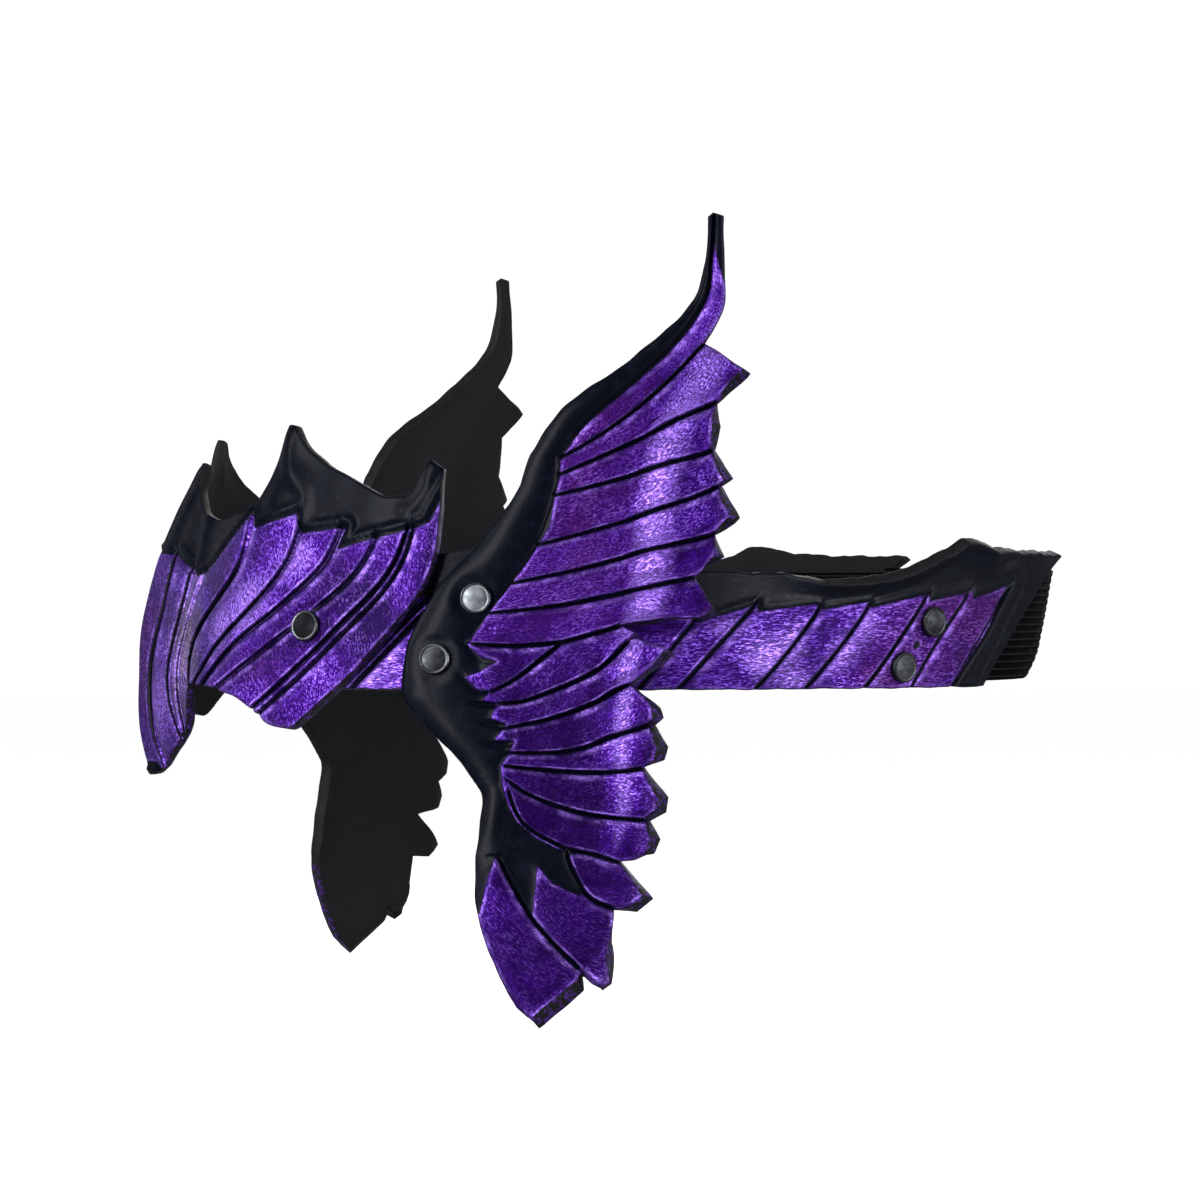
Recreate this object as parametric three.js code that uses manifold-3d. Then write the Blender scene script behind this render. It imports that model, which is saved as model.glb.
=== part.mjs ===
import * as THREE from 'three';
import { mergeVertices } from 'three/addons/utils/BufferGeometryUtils.js';
import Module from 'manifold-3d';

// A winged leather crown in millimetres. +Z is up, -X is the wearer's front and -Y the wearer's left.
// The origin is the middle of the head opening, level with the lower edge of the side bands.
const wasm = await Module();
wasm.setup();

// The head opening is an ellipse, and every level of the crown is moved back in proportion to its height.
const head = { halfLength: 97, halfWidth: 75, backLean: 0.2 };

// Distance of each layer's inner face from the head opening, and its thickness.
const strapLayer = { inside: 0.2, thick: 1.5 };
const bandLayer = { inside: 2, thick: 2.5 };
const outerLayer = { inside: 4.8, thick: 3 };

const carving = { groove: -0.6, rib: 0.4, clearNear: 5, clearFar: 10 };

// The brow of the front plate lies closer to the head than its sides, and the keel stands out in its middle.
const brow = { closer: 3.8, from: 60, to: 80, keelFrom: 75, keelPower: 1.3, profileFrom: 55, profileTo: 88 };

// The keel's own profile: how far it is set back at each height, beside the lean of the whole crown.
const keelProfile = [
  { height: -19, back: 5.5 },
  { height: -10, back: 1.2 },
  { height: 0, back: 0 },
  { height: 14, back: -1.8 },
  { height: 28, back: -1.2 },
  { height: 47, back: 3.6 },
];

// Front plate, left half, from its rear edge to the keel. Each row is a carved line or an edge that runs
// from the hem to the crest as [degrees forward of the side, height].
const plateLines = [
  { hem: [49.5, -6.3], low: [43, 5], high: [36.6, 22.5], crest: [36.6, 44], rise: -0.2 },
  { hem: [51.4, -8.2], low: [45, 4.5], high: [37.6, 23], crest: [37.9, 45.8], rise: 0 },
  { hem: [54.8, -7], low: [48, 4], high: [39.4, 23.5], crest: [38.7, 43.5], rise: 0.4 },
  { hem: [57.5, -4.3], low: [51.8, 3.8], high: [41.5, 23.5], crest: [39.5, 40.5], rise: -0.6 },
  { hem: [61.2, -1.8], low: [55, 5.4], high: [43.7, 23.3], crest: [41.3, 39], rise: 0.4 },
  { hem: [65.5, -0.5], low: [58, 7], high: [46, 23], crest: [43.5, 38.8], rise: -0.6 },
  { hem: [67.6, 0], low: [60.8, 7.5], high: [48.5, 23.8], crest: [46, 40], rise: 0.4 },
  { hem: [69.5, 0.2], low: [63.5, 8], high: [51, 24.5], crest: [48.8, 42.2], rise: -0.6 },
  { hem: [71, 0.3], low: [66, 7.5], high: [54, 24.5], crest: [52, 44.4], rise: 0.4 },
  { hem: [72.5, 0.4], low: [68, 7], high: [57, 24.5], crest: [55.2, 47.3], rise: -0.6 },
  { hem: [73.2, 0.4], low: [70, 8], high: [59.2, 25], crest: [57.6, 50.7], rise: 0.3 },
  { hem: [73.8, 0.4], low: [71.4, 8.5], high: [61, 26], crest: [59.5, 53.8], rise: 0.4 },
  { hem: [74.3, 0.3], low: [72.6, 9], high: [62.6, 26.5], crest: [61.8, 54], rise: 0.2 },
  { hem: [74.7, 0.2], low: [73.4, 9.2], high: [64, 25.5], crest: [62.4, 46], rise: 0 },
  { hem: [75, 0], low: [74, 9.5], high: [65.5, 24.5], crest: [65.3, 38], rise: -0.6 },
  { hem: [75.6, -7.5], low: [76, 6], high: [70.5, 23.5], crest: [71, 35.4], rise: 0.4 },
  { hem: [76.6, -9.5], low: [78.3, 4], high: [76, 20], crest: [76.2, 34.6], rise: -0.5 },
  { hem: [78, -11.2], low: [81, 1], high: [79.7, 18], crest: [80.5, 35.6], rise: -0.5 },
  { hem: [81.4, -14.5], low: [84, 0], high: [82.5, 18], crest: [84.2, 38.6], rise: 0.4 },
  { hem: [84.6, -17.2], low: [86.8, 0], high: [85, 18], crest: [87, 42], rise: -0.5 },
  { hem: [88.4, -19], low: [88.8, 0], high: [88.4, 18], crest: [88.9, 47], rise: 0.2 },
  { hem: [90, -19.2], low: [90, 0], high: [90, 18], crest: [90, 47.2], rise: 0.4 },
];
const plateRows = 7;

// Side band from its front end to its rear point: where each line meets the hem and the crest, in degrees
// forward of the side, and the height of the crest there.
const bandLines = [
  { hem: 57, crest: 53, height: 22, bow: 0, rise: 0 },
  { hem: 46.2, crest: 31.5, height: 28.4, bow: 0, rise: -0.6 },
  { hem: 44.7, crest: 30, height: 28.4, bow: 0, rise: -0.6 },
  { hem: 30, crest: 20, height: 28, bow: 0, rise: 0 },
  { hem: 18, crest: 10, height: 25, bow: 0, rise: 0 },
  { hem: 9.8, crest: 1, height: 23.6, bow: 0, rise: -0.6 },
  { hem: 5, crest: -5, height: 23.3, bow: 0, rise: -0.6 },
  { hem: -4.3, crest: -12, height: 21.6, bow: -0.6, rise: -0.6 },
  { hem: -10.7, crest: -19, height: 22.6, bow: -0.6, rise: -0.6 },
  { hem: -18.8, crest: -28.4, height: 28.4, bow: -0.6, rise: -0.6 },
  { hem: -22.4, crest: -31, height: 30.4, bow: 0, rise: 0.3 },
  { hem: -26, crest: -37.5, height: 28.7, bow: 0.8, rise: -0.6 },
  { hem: -33.2, crest: -44.6, height: 28.2, bow: 0.4, rise: -0.6 },
  { hem: -39.9, crest: -55.5, height: 28, bow: 1.6, rise: -0.2 },
];
const bandRows = 5;
const bandFacet = 4.5;
const bandRibs = { from: 9.8, to: -26, rise: 0.3 };

// Elastic round the back, from inside one band to inside the other. It lies closer to the head behind,
// and its lower edge turns in under the back of the head.
const strap = { low: 0.8, high: 24.6, end: -20.5, columns: 25, rows: 4 };
const strapBack = { from: -34, closer: 2.3, tuck: 2.6, tuckHeight: 8 };

// A wing is one sheet that touches the band at its rivets and is flatter than the band. Its pattern is
// measured along the sheet from the rivets, backwards, and upwards.
const wing = { turn: 32, seatHeight: 12, bendRadius: 140, topSplay: 7, lowSplay: 2, splayReach: 80 };
const curlFrom = 0.7;
const swell = 0.5;

// Carved lines of the wing, top to bottom: the point on the leading edge, the root on the leading strip,
// two points on the way, the notch between the feather ends, and how far the sheet curls out there.
const wingLines = [
  { lead: [15.2, 47], root: [20.7, 46.5], near: [29, 51.5], far: [39, 59.2], end: [49.7, 69.6], curl: 1 },
  { lead: [13.7, 43.2], root: [20.5, 43.2], near: [30, 47.4], far: [40, 52], end: [51.6, 57.6], curl: 3 },
  { lead: [12.2, 39], root: [19.7, 39], near: [30, 41.6], far: [40, 44.6], end: [50.8, 48], curl: 3 },
  { lead: [5, 29.2], root: [16.3, 29], near: [28, 32.2], far: [40, 36], end: [51.9, 40.8], curl: 3 },
  { lead: [-2.2, 21.8], root: [11.3, 21.4], near: [24, 24], far: [38, 27.8], end: [51, 31.2], curl: 3 },
  { lead: [-6.2, 15.6], root: [6.8, 15.3], near: [20, 16.8], far: [34, 19.6], end: [46.6, 22.6], curl: 3 },
  { lead: [-9.4, 8.8], root: [3.2, 9], near: [12, 8.8], far: [21, 9.5], end: [32.6, 12.7], curl: 0 },
  { lead: [-10.3, -0.4], root: [7.3, -0.6], near: [11.5, 1.8], far: [16.5, 5.6], end: [21, 9.5], curl: 0 },
  { lead: [-9.1, -3.2], root: [8.6, -2.9], near: [15, -2], far: [27.6, 3.6], end: [34.3, 9.2], curl: 2.4 },
  { lead: [-4.9, -7.7], root: [9.8, -7.8], near: [18.1, -6], far: [27, -2.8], end: [34.5, 1], curl: 2.4 },
  { lead: [0.3, -12.5], root: [11, -12.6], near: [22, -12.4], far: [31, -9.6], end: [38.3, -6.9], curl: 2.6 },
  { lead: [2.6, -15.2], root: [10, -15.2], near: [17, -16], far: [27, -16.5], end: [36.5, -15.4], curl: 2.6 },
  { lead: [4.6, -18], root: [10.5, -18], near: [16, -21.4], far: [26, -24.8], end: [37.3, -25.8], curl: 2.6 },
  { lead: [5.4, -20], root: [11, -20], near: [14, -26.6], far: [21.8, -31.6], end: [32, -33.8], curl: 2.4 },
];

// The feather below each carved line: the corners of its cut end, from its upper notch to its lower one.
const featherEnds = [
  [[57.3, 63.8]],
  [[51.4, 53]],
  [[53.4, 42.2]],
  [[54.8, 34.5]],
  [[51.8, 26.9]],
  [[50.6, 15.8], [49.2, 14.6], [42.6, 15.6]],
  [],
  [[35.9, 11.2]],
  [[36.1, 9.8], [41.9, 7.6], [40.1, 5.4]],
  [[40, -4.4]],
  [[40.7, -13]],
  [[40.7, -23.1]],
  [[38.8, -29.4], [37.8, -32.4]],
];

// One feather ends in a point where its two lines meet, after some steps of its upper line, and the next
// feather goes on from there.
const wedge = { feather: 6, steps: 4 };

// The narrow top of the wing: its leading edge, the black strip's inner edge and its rear edge.
const topTip = {
  lead: [[15.2, 47], [22.1, 56.7], [34.4, 65.4], [47, 76.9], [50.4, 86.9], [50.9, 95.5]],
  strip: [[20.7, 46.5], [26, 53.7], [41.6, 67.4], [49.8, 78], [51.6, 86.9], [52, 95.5]],
  rear: [[49.7, 69.6], [53.7, 77.8], [53.8, 84.4], [53.2, 95.3]],
};

// Three leaf feathers hang below the last carved line. Their lines run from the fork on the black field.
const fork = { strip: [8.8, -32.6], lead: [5.2, -33.2] };
const leafLines = [
  {
    path: [[21.8, -31.6], [24.2, -37.5], [26.6, -41.2], [30.9, -43.5]],
    corners: [[37.5, -41.1], [34.9, -43.6]],
    curl: 2.4,
  },
  {
    path: [[8.8, -32.6], [14.6, -43.6], [19.6, -50], [24.8, -55.4]],
    corners: [[30.4, -50], [30.2, -57.7], [28.7, -58.9]],
    curl: 2.4,
  },
  {
    path: [[5.2, -33.2], [5.5, -44.3], [9.5, -56], [13.1, -62.8]],
    corners: [[24.9, -58.6], [16.7, -65.9]],
    curl: 1.6,
  },
];

// Steps along and across a feather, a leaf and the leading strip.
const along = 6;
const leafAlong = 3;
const across = 4;
const stripAcross = 3;

// A rivet has a domed cap outside, a post and a washer inside. The cap's rim and shoulder are shares of
// its size.
const rivet = { cap: 3.2, capHeight: 1.3, post: 1.4, back: 2.8, backHeight: 0.8, gap: 0.3, sides: 12 };
const capShape = { rimHeight: 0.4, shoulder: 0.75, shoulderHeight: 0.85 };
const rivetHole = { radius: 1.7, past: 2.6 };
const browRivet = { turn: 51.4, height: 12.5 };
const wingRivets = { upper: [4.1, 18.2], lower: [-3.9, 6] };
const strapRivets = { upper: [-27.6, 13.6], lower: [-24.1, 4.2] };

const looks = {
  plate: { color: 0x4b1d8c, roughness: 0.42, metalness: 0.45 },
  band: { color: 0x4f2191, roughness: 0.42, metalness: 0.45 },
  wing: { color: 0x472085, roughness: 0.4, metalness: 0.45 },
  strap: { color: 0x131416, roughness: 0.85, metalness: 0 },
  rivet: { color: 0x4a4f55, roughness: 0.3, metalness: 1 },
};

const frontTurn = 90;
const backTurn = -90;
const slopeStep = 0.5;
const patternDigits = 3;
const mergeDistance = 1e-5;
const radians = THREE.MathUtils.degToRad;
const smooth = THREE.MathUtils.smoothstep;

function vector2(pair) {
  return new THREE.Vector2(pair[0], pair[1]);
}

// Zero at both ends of a share and one in its middle.
function arch(share) {
  return 4 * share * (1 - share);
}

// A point at a distance outside the head opening.
function around(turn, height, offset) {
  const angle = radians(turn);
  return new THREE.Vector3(
    -(head.halfLength + offset) * Math.sin(angle) + head.backLean * height,
    -(head.halfWidth + offset) * Math.cos(angle),
    height,
  );
}

function keelBack(height) {
  const last = keelProfile.length - 1;
  const above = keelProfile.findIndex((row) => row.height >= height);
  const i = THREE.MathUtils.clamp(above < 0 ? last : above, 1, last);
  const share = (height - keelProfile[i - 1].height) / (keelProfile[i].height - keelProfile[i - 1].height);
  return THREE.MathUtils.lerp(keelProfile[i - 1].back, keelProfile[i].back, share);
}

// Middle of the front plate's thickness.
function platePlace(turn, height) {
  const forward = frontTurn - Math.abs(turn - frontTurn);
  const keel = Math.max(0, (forward - brow.keelFrom) / (frontTurn - brow.keelFrom)) ** brow.keelPower;
  const closer = brow.closer * (smooth(forward, brow.from, brow.to) - keel);
  const point = around(turn, height, outerLayer.inside + outerLayer.thick / 2 - closer);
  point.x += keelBack(height) * smooth(forward, brow.profileFrom, brow.profileTo);
  return point;
}

function bandPlace(turn, height) {
  return around(turn, height, bandLayer.inside + bandLayer.thick / 2);
}

function strapPlace(turn, height) {
  const behind = smooth(-Math.abs(turn - backTurn), backTurn - strapBack.from, 0);
  const tuck = strapBack.tuck * Math.max(0, 1 - (height - strap.low) / strapBack.tuckHeight) ** 2;
  const middle = strapLayer.inside + strapLayer.thick / 2;
  return around(turn, height, middle - (strapBack.closer + tuck) * behind);
}

const seatAngle = radians(wing.turn);
const wingNormal = new THREE.Vector3(
  -Math.sin(seatAngle) / (head.halfLength + outerLayer.inside),
  -Math.cos(seatAngle) / (head.halfWidth + outerLayer.inside),
  0,
).normalize();
const wingBack = new THREE.Vector3(-wingNormal.y, wingNormal.x, 0);
const wingSeat = around(wing.turn, wing.seatHeight, outerLayer.inside);

// Middle of the wing's thickness: bent round the band, leaning with it and splayed at the top and bottom.
function wingPlace(back, height, lift) {
  const bend = back / wing.bendRadius;
  const above = height - wing.seatHeight;
  const splay = above > 0 ? wing.topSplay : wing.lowSplay;
  const out = head.backLean * wingNormal.x * above + splay * (above / wing.splayReach) ** 2;
  const turned = wingNormal.clone().multiplyScalar(Math.cos(bend)).addScaledVector(wingBack, Math.sin(bend));
  const point = wingSeat.clone();
  point.addScaledVector(wingBack, wing.bendRadius * Math.sin(bend));
  point.addScaledVector(wingNormal, -wing.bendRadius * (1 - Math.cos(bend)));
  point.addScaledVector(turned, outerLayer.thick / 2 + out + lift);
  point.z = height;
  return point;
}

// A sheet is a flat pattern of points and triangles. Points that coincide are one point.
function newSheet() {
  return { points: [], faces: [], known: new Map() };
}

function addPoint(sheet, flat, rise, lift) {
  const key = `${flat.x.toFixed(patternDigits)} ${flat.y.toFixed(patternDigits)}`;
  if (!sheet.known.has(key)) {
    sheet.known.set(key, sheet.points.length);
    sheet.points.push({ u: flat.x, v: flat.y, rise, lift });
  }
  return sheet.known.get(key);
}

function addFace(sheet, a, b, c) {
  if (a !== b && b !== c && c !== a) {
    sheet.faces.push([a, b, c]);
  }
}

// A patch of rows of flat points. Its outside faces the viewer when rows run right and columns run down.
function addPatch(sheet, rows, rise, lift) {
  const ids = rows.map((row, i) => row.map((flat, j) => addPoint(sheet, flat, rise(i, j), lift(i, j))));
  for (let i = 0; i + 1 < ids.length; i += 1) {
    for (let j = 0; j + 1 < ids[i].length; j += 1) {
      addFace(sheet, ids[i][j], ids[i + 1][j], ids[i + 1][j + 1]);
      addFace(sheet, ids[i][j], ids[i + 1][j + 1], ids[i][j + 1]);
    }
  }
}

// Carving fades out round each rivet, so that its cap lies flat.
function clearRivets(sheet, rivets, size) {
  for (const point of sheet.points) {
    for (const seat of rivets) {
      const distance = Math.hypot((point.u - seat[0]) * size, point.v - seat[1]);
      point.rise *= smooth(distance, carving.clearNear, carving.clearFar);
    }
  }
}

// Lays a sheet on its surface and gives it thickness, with a wall round every free edge.
function sheetSolid(sheet, place, thick) {
  const middles = sheet.points.map((point) => place(point.u, point.v, point.lift));
  const normals = middles.map(() => new THREE.Vector3());
  for (const [a, b, c] of sheet.faces) {
    const side = middles[b].clone().sub(middles[a]);
    const normal = side.cross(middles[c].clone().sub(middles[a]));
    [a, b, c].forEach((id) => normals[id].add(normal));
  }
  const count = middles.length;
  const positions = [];
  middles.forEach((middle, i) => {
    const out = thick / 2 + sheet.points[i].rise;
    positions.push(...middle.clone().addScaledVector(normals[i].normalize(), out).toArray());
  });
  middles.forEach((middle, i) => {
    positions.push(...middle.clone().addScaledVector(normals[i], -thick / 2).toArray());
  });
  const index = [];
  const edges = new Map();
  for (const [a, b, c] of sheet.faces) {
    index.push(a, b, c, a + count, c + count, b + count);
    [[a, b], [b, c], [c, a]].forEach(([from, to]) => edges.set(`${from} ${to}`, [from, to]));
  }
  for (const [from, to] of edges.values()) {
    if (!edges.has(`${to} ${from}`)) {
      index.push(to, from, from + count, to, from + count, to + count);
    }
  }
  const geometry = new THREE.BufferGeometry();
  geometry.setAttribute('position', new THREE.Float32BufferAttribute(positions, 3));
  geometry.setIndex(index);
  return geometry;
}

function spaced(pairs, steps) {
  return new THREE.SplineCurve(pairs.map(vector2)).getSpacedPoints(steps);
}

// A broken line with every corner kept, and its longest stretches halved until it has enough points.
function keptCorners(points, steps) {
  const line = points.slice();
  while (line.length < steps + 1) {
    let longest = 0;
    for (let i = 1; i + 1 < line.length; i += 1) {
      if (line[i].distanceTo(line[i + 1]) > line[longest].distanceTo(line[longest + 1])) {
        longest = i;
      }
    }
    line.splice(longest + 1, 0, line[longest].clone().lerp(line[longest + 1], 0.5));
  }
  return line;
}

// A patch stretched between four edges that meet at its corners. Rows run from the upper edge to the lower.
function stretched(upper, lower, root, end) {
  const rows = [];
  for (let i = 0; i < root.length; i += 1) {
    const s = i / (root.length - 1);
    const row = upper.map((flat, j) => {
      const t = j / (upper.length - 1);
      const point = flat.clone().multiplyScalar(1 - s).addScaledVector(lower[j], s);
      point.addScaledVector(root[i], 1 - t).addScaledVector(end[i], t);
      const first = root[0].clone().lerp(root[root.length - 1], s);
      const last = end[0].clone().lerp(end[end.length - 1], s);
      return point.addScaledVector(first, t - 1).addScaledVector(last, -t);
    });
    row[0] = root[i];
    row[row.length - 1] = end[i];
    rows.push(row);
  }
  rows[0] = upper;
  rows[rows.length - 1] = lower;
  return rows;
}

function featherRise(rows) {
  return (i, j) => (i === 0 || j === 0 || i === rows.length - 1 ? carving.groove : carving.rib);
}

// The end of a feather curls out: by its own lines' amounts at its edges, and further between them.
function featherLift(rows, upperCurl, lowerCurl) {
  return (i, j) => {
    const s = i / (rows.length - 1);
    const t = j / (rows[0].length - 1);
    const curl = THREE.MathUtils.lerp(upperCurl, lowerCurl, s) * (1 + swell * arch(s));
    return curl * Math.max(0, (t - curlFrom) / (1 - curlFrom)) ** 2;
  };
}

function flat() {
  return 0;
}

function plateColumn(line, mirror) {
  const turned = ([turn, height]) => [mirror ? 2 * frontTurn - turn : turn, height];
  return spaced([line.hem, line.low, line.high, line.crest].map(turned), plateRows - 1).reverse();
}

function plateGeometry() {
  const sheet = newSheet();
  const right = plateLines.slice(0, -1).reverse();
  const columns = [
    ...plateLines.map((line) => ({ rise: line.rise, points: plateColumn(line, false) })),
    ...right.map((line) => ({ rise: line.rise, points: plateColumn(line, true) })),
  ].reverse();
  const rows = columns[0].points.map((_, i) => columns.map((column) => column.points[i]));
  addPatch(sheet, rows, (i, j) => columns[j].rise, flat);
  const seat = [browRivet.turn, browRivet.height];
  const degree = radians(head.halfLength);
  clearRivets(sheet, [seat, [2 * frontTurn - seat[0], seat[1]]], degree);
  return sheetSolid(sheet, platePlace, outerLayer.thick);
}

function bandColumns() {
  const columns = [];
  bandLines.forEach((line, i) => {
    columns.push(line);
    const next = bandLines[i + 1];
    if (!next) {
      return;
    }
    const steps = Math.max(1, Math.round((line.hem - next.hem) / bandFacet));
    const ribbed = line.hem <= bandRibs.from && line.hem >= bandRibs.to;
    for (let k = 1; k < steps; k += 1) {
      const mixed = (key) => THREE.MathUtils.lerp(line[key], next[key], k / steps);
      const rise = ribbed ? bandRibs.rise : 0;
      columns.push({
        hem: mixed('hem'),
        crest: mixed('crest'),
        height: mixed('height'),
        bow: mixed('bow'),
        rise,
      });
    }
  });
  return columns;
}

function bandGeometry() {
  const sheet = newSheet();
  const columns = bandColumns();
  const rows = [];
  for (let i = 0; i < bandRows; i += 1) {
    const share = 1 - i / (bandRows - 1);
    rows.push(columns.map((column) => {
      const turn = THREE.MathUtils.lerp(column.hem, column.crest, share);
      return new THREE.Vector2(turn + column.bow * arch(share), column.height * share);
    }));
  }
  addPatch(sheet, rows, (i, j) => columns[j].rise, flat);
  clearRivets(sheet, Object.values(strapRivets), radians(head.halfLength));
  return sheetSolid(sheet, bandPlace, bandLayer.thick);
}

function strapGeometry() {
  const sheet = newSheet();
  const rows = [];
  for (let i = 0; i < strap.rows; i += 1) {
    const height = THREE.MathUtils.lerp(strap.high, strap.low, i / (strap.rows - 1));
    const row = [];
    for (let j = 0; j < strap.columns; j += 1) {
      const turn = THREE.MathUtils.lerp(strap.end, 2 * backTurn - strap.end, j / (strap.columns - 1));
      row.push(new THREE.Vector2(turn, height));
    }
    rows.push(row);
  }
  addPatch(sheet, rows, flat, flat);
  return sheetSolid(sheet, strapPlace, strapLayer.thick);
}

// A carved line in steps. Where another line or leaf starts at its far point, a step ends there.
function wingLine(line, i) {
  const partings = { [wedge.feather]: wedge.steps, [wingLines.length - 1]: along - leafAlong };
  const parting = partings[i];
  if (!parting) {
    const steps = i === wedge.feather + 1 ? wedge.steps : along;
    return spaced([line.root, line.near, line.far, line.end], steps);
  }
  const first = spaced([line.root, line.near, line.far], parting);
  return [...first, ...spaced([line.far, line.end], along - parting).slice(1)];
}

function repeated(point, count) {
  return Array.from({ length: count }, () => point);
}

function addFeather(sheet, upper, lower, root, end, curls) {
  const rows = stretched(upper, lower, root, end);
  addPatch(sheet, rows, featherRise(rows), featherLift(rows, curls[0], curls[1]));
}

function addFeathers(sheet, lines, roots) {
  featherEnds.forEach((corners, i) => {
    let upper = lines[i];
    let lower = lines[i + 1];
    if (i === wedge.feather) {
      upper = upper.slice(0, lower.length);
    }
    if (i === wedge.feather + 1) {
      upper = [...upper, ...lines[wedge.feather].slice(upper.length)];
    }
    const tips = [upper[upper.length - 1], ...corners.map(vector2), lower[lower.length - 1]];
    const curls = [wingLines[i].curl, wingLines[i + 1].curl];
    addFeather(sheet, upper, lower, roots[i], keptCorners(tips, across), curls);
  });
}

// The top of the wing: a last narrow feather and the black strip in front of it.
function addTopTip(sheet, firstLine, firstCrossing) {
  const rear = spaced(topTip.rear, along).slice(1);
  const lower = [...firstLine, ...rear];
  const strip = spaced(topTip.strip, lower.length - 1);
  const lead = spaced(topTip.lead, lower.length - 1);
  const last = lower.length - 1;
  const quillEnd = keptCorners([strip[last], lower[last]], stripAcross);
  addFeather(sheet, strip, lower, repeated(strip[0], quillEnd.length), quillEnd, [0, 0]);
  const leadEnd = keptCorners([lead[last], strip[last]], stripAcross);
  addPatch(sheet, stretched(lead, strip, firstCrossing, leadEnd), flat, flat);
}

// The black field under the last feather, then the leaves from back to front.
function addLeaves(sheet, lastLine, lastRoot, lastCurl) {
  const upper = lastLine.slice(0, leafAlong + 1);
  const parting = upper[leafAlong];
  const forkPoint = vector2(fork.strip);
  const fieldEnd = keptCorners([parting, forkPoint], across);
  addPatch(sheet, stretched(upper, repeated(forkPoint, upper.length), lastRoot, fieldEnd), flat, flat);
  const roots = [
    repeated(parting, across + 1),
    fieldEnd,
    crossing(vector2(fork.lead), forkPoint).reverse(),
  ];
  let above = lastLine.slice(leafAlong);
  let curl = lastCurl;
  leafLines.forEach((leaf, i) => {
    const below = spaced(leaf.path, leafAlong);
    const tips = [above[leafAlong], ...leaf.corners.map(vector2), below[leafAlong]];
    const end = keptCorners(tips, roots[i].length - 1);
    addFeather(sheet, above, below, roots[i], end, [curl, leaf.curl]);
    above = below;
    curl = leaf.curl;
  });
}

// The black leading strip, between one carved line's root and the next.
function addStrip(sheet, leads, roots) {
  roots.forEach((root, i) => {
    const rows = root.map((inner, k) => crossing(leads[i][k], inner));
    addPatch(sheet, rows, flat, flat);
  });
}

function crossing(lead, inner) {
  return Array.from({ length: stripAcross + 1 }, (_, k) => lead.clone().lerp(inner, k / stripAcross));
}

// Points along a smooth edge, in equal steps from each of its given points to the next.
function edgeSteps(pairs) {
  const curve = new THREE.SplineCurve(pairs.map(vector2));
  const spans = pairs.length - 1;
  return pairs.slice(1).map((_, i) => (
    Array.from({ length: across + 1 }, (__, k) => curve.getPoint((i + k / across) / spans))
  ));
}

function wingGeometry() {
  const sheet = newSheet();
  const lines = wingLines.map(wingLine);
  const roots = edgeSteps([...wingLines.map((line) => line.root), fork.strip]);
  const leads = edgeSteps([...wingLines.map((line) => line.lead), fork.lead]);
  const last = wingLines.length - 1;
  addFeathers(sheet, lines, roots);
  addLeaves(sheet, lines[last], roots[last], wingLines[last].curl);
  addTopTip(sheet, lines[0], crossing(leads[0][0], roots[0][0]));
  addStrip(sheet, leads, roots);
  clearRivets(sheet, Object.values(wingRivets), 1);
  return sheetSolid(sheet, wingPlace, outerLayer.thick);
}

// A rivet's seat: the point on the outer face of a sheet and the way out of it.
function seatOn(place, [u, v], thick) {
  const sideways = place(u + slopeStep, v, 0).sub(place(u - slopeStep, v, 0));
  const up = place(u, v + slopeStep, 0).sub(place(u, v - slopeStep, 0));
  const out = sideways.cross(up).normalize();
  if (out.y > 0) {
    out.negate();
  }
  return { point: place(u, v, 0).addScaledVector(out, thick / 2), out };
}

function seated(geometry, seat) {
  geometry.applyQuaternion(new THREE.Quaternion().setFromUnitVectors(new THREE.Vector3(0, 1, 0), seat.out));
  return geometry.translate(...seat.point.toArray());
}

// One closed profile: a low dome outside, the post, and a flat washer inside.
function rivetGeometry(seat, depth) {
  const top = rivet.gap;
  const bottom = -depth - rivet.gap;
  const profile = [
    [0, bottom - rivet.backHeight],
    [rivet.back, bottom - rivet.backHeight],
    [rivet.back, bottom],
    [rivet.post, bottom],
    [rivet.post, top],
    [rivet.cap, top],
    [rivet.cap, top + rivet.capHeight * capShape.rimHeight],
    [rivet.cap * capShape.shoulder, top + rivet.capHeight * capShape.shoulderHeight],
    [0, top + rivet.capHeight],
  ];
  const turned = seated(new THREE.LatheGeometry(profile.map(vector2), rivet.sides), seat);
  return geometryOf(solidOf(turned));
}

function holeGeometry(seat, depth) {
  const length = depth + 2 * rivetHole.past;
  const drill = new THREE.CylinderGeometry(rivetHole.radius, rivetHole.radius, length, rivet.sides);
  return seated(drill.translate(0, -depth / 2, 0), seat);
}

function solidOf(geometry) {
  const bare = geometry.clone();
  bare.deleteAttribute('normal');
  bare.deleteAttribute('uv');
  const merged = mergeVertices(bare, mergeDistance);
  const ids = merged.index.array;
  const triangles = [];
  for (let i = 0; i < ids.length; i += 3) {
    if (ids[i] !== ids[i + 1] && ids[i + 1] !== ids[i + 2] && ids[i + 2] !== ids[i]) {
      triangles.push(ids[i], ids[i + 1], ids[i + 2]);
    }
  }
  const vertProperties = new Float32Array(merged.attributes.position.array);
  const triVerts = new Uint32Array(triangles);
  return new wasm.Manifold(new wasm.Mesh({ numProp: 3, vertProperties, triVerts }));
}

function geometryOf(solid) {
  const mesh = solid.getMesh();
  const geometry = new THREE.BufferGeometry();
  geometry.setAttribute('position', new THREE.Float32BufferAttribute(mesh.vertProperties, 3));
  geometry.setIndex(Array.from(mesh.triVerts));
  return geometry;
}

function drilled(geometry, holes) {
  return geometryOf(holes.reduce((solid, hole) => solid.subtract(solidOf(hole)), solidOf(geometry)));
}

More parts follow.
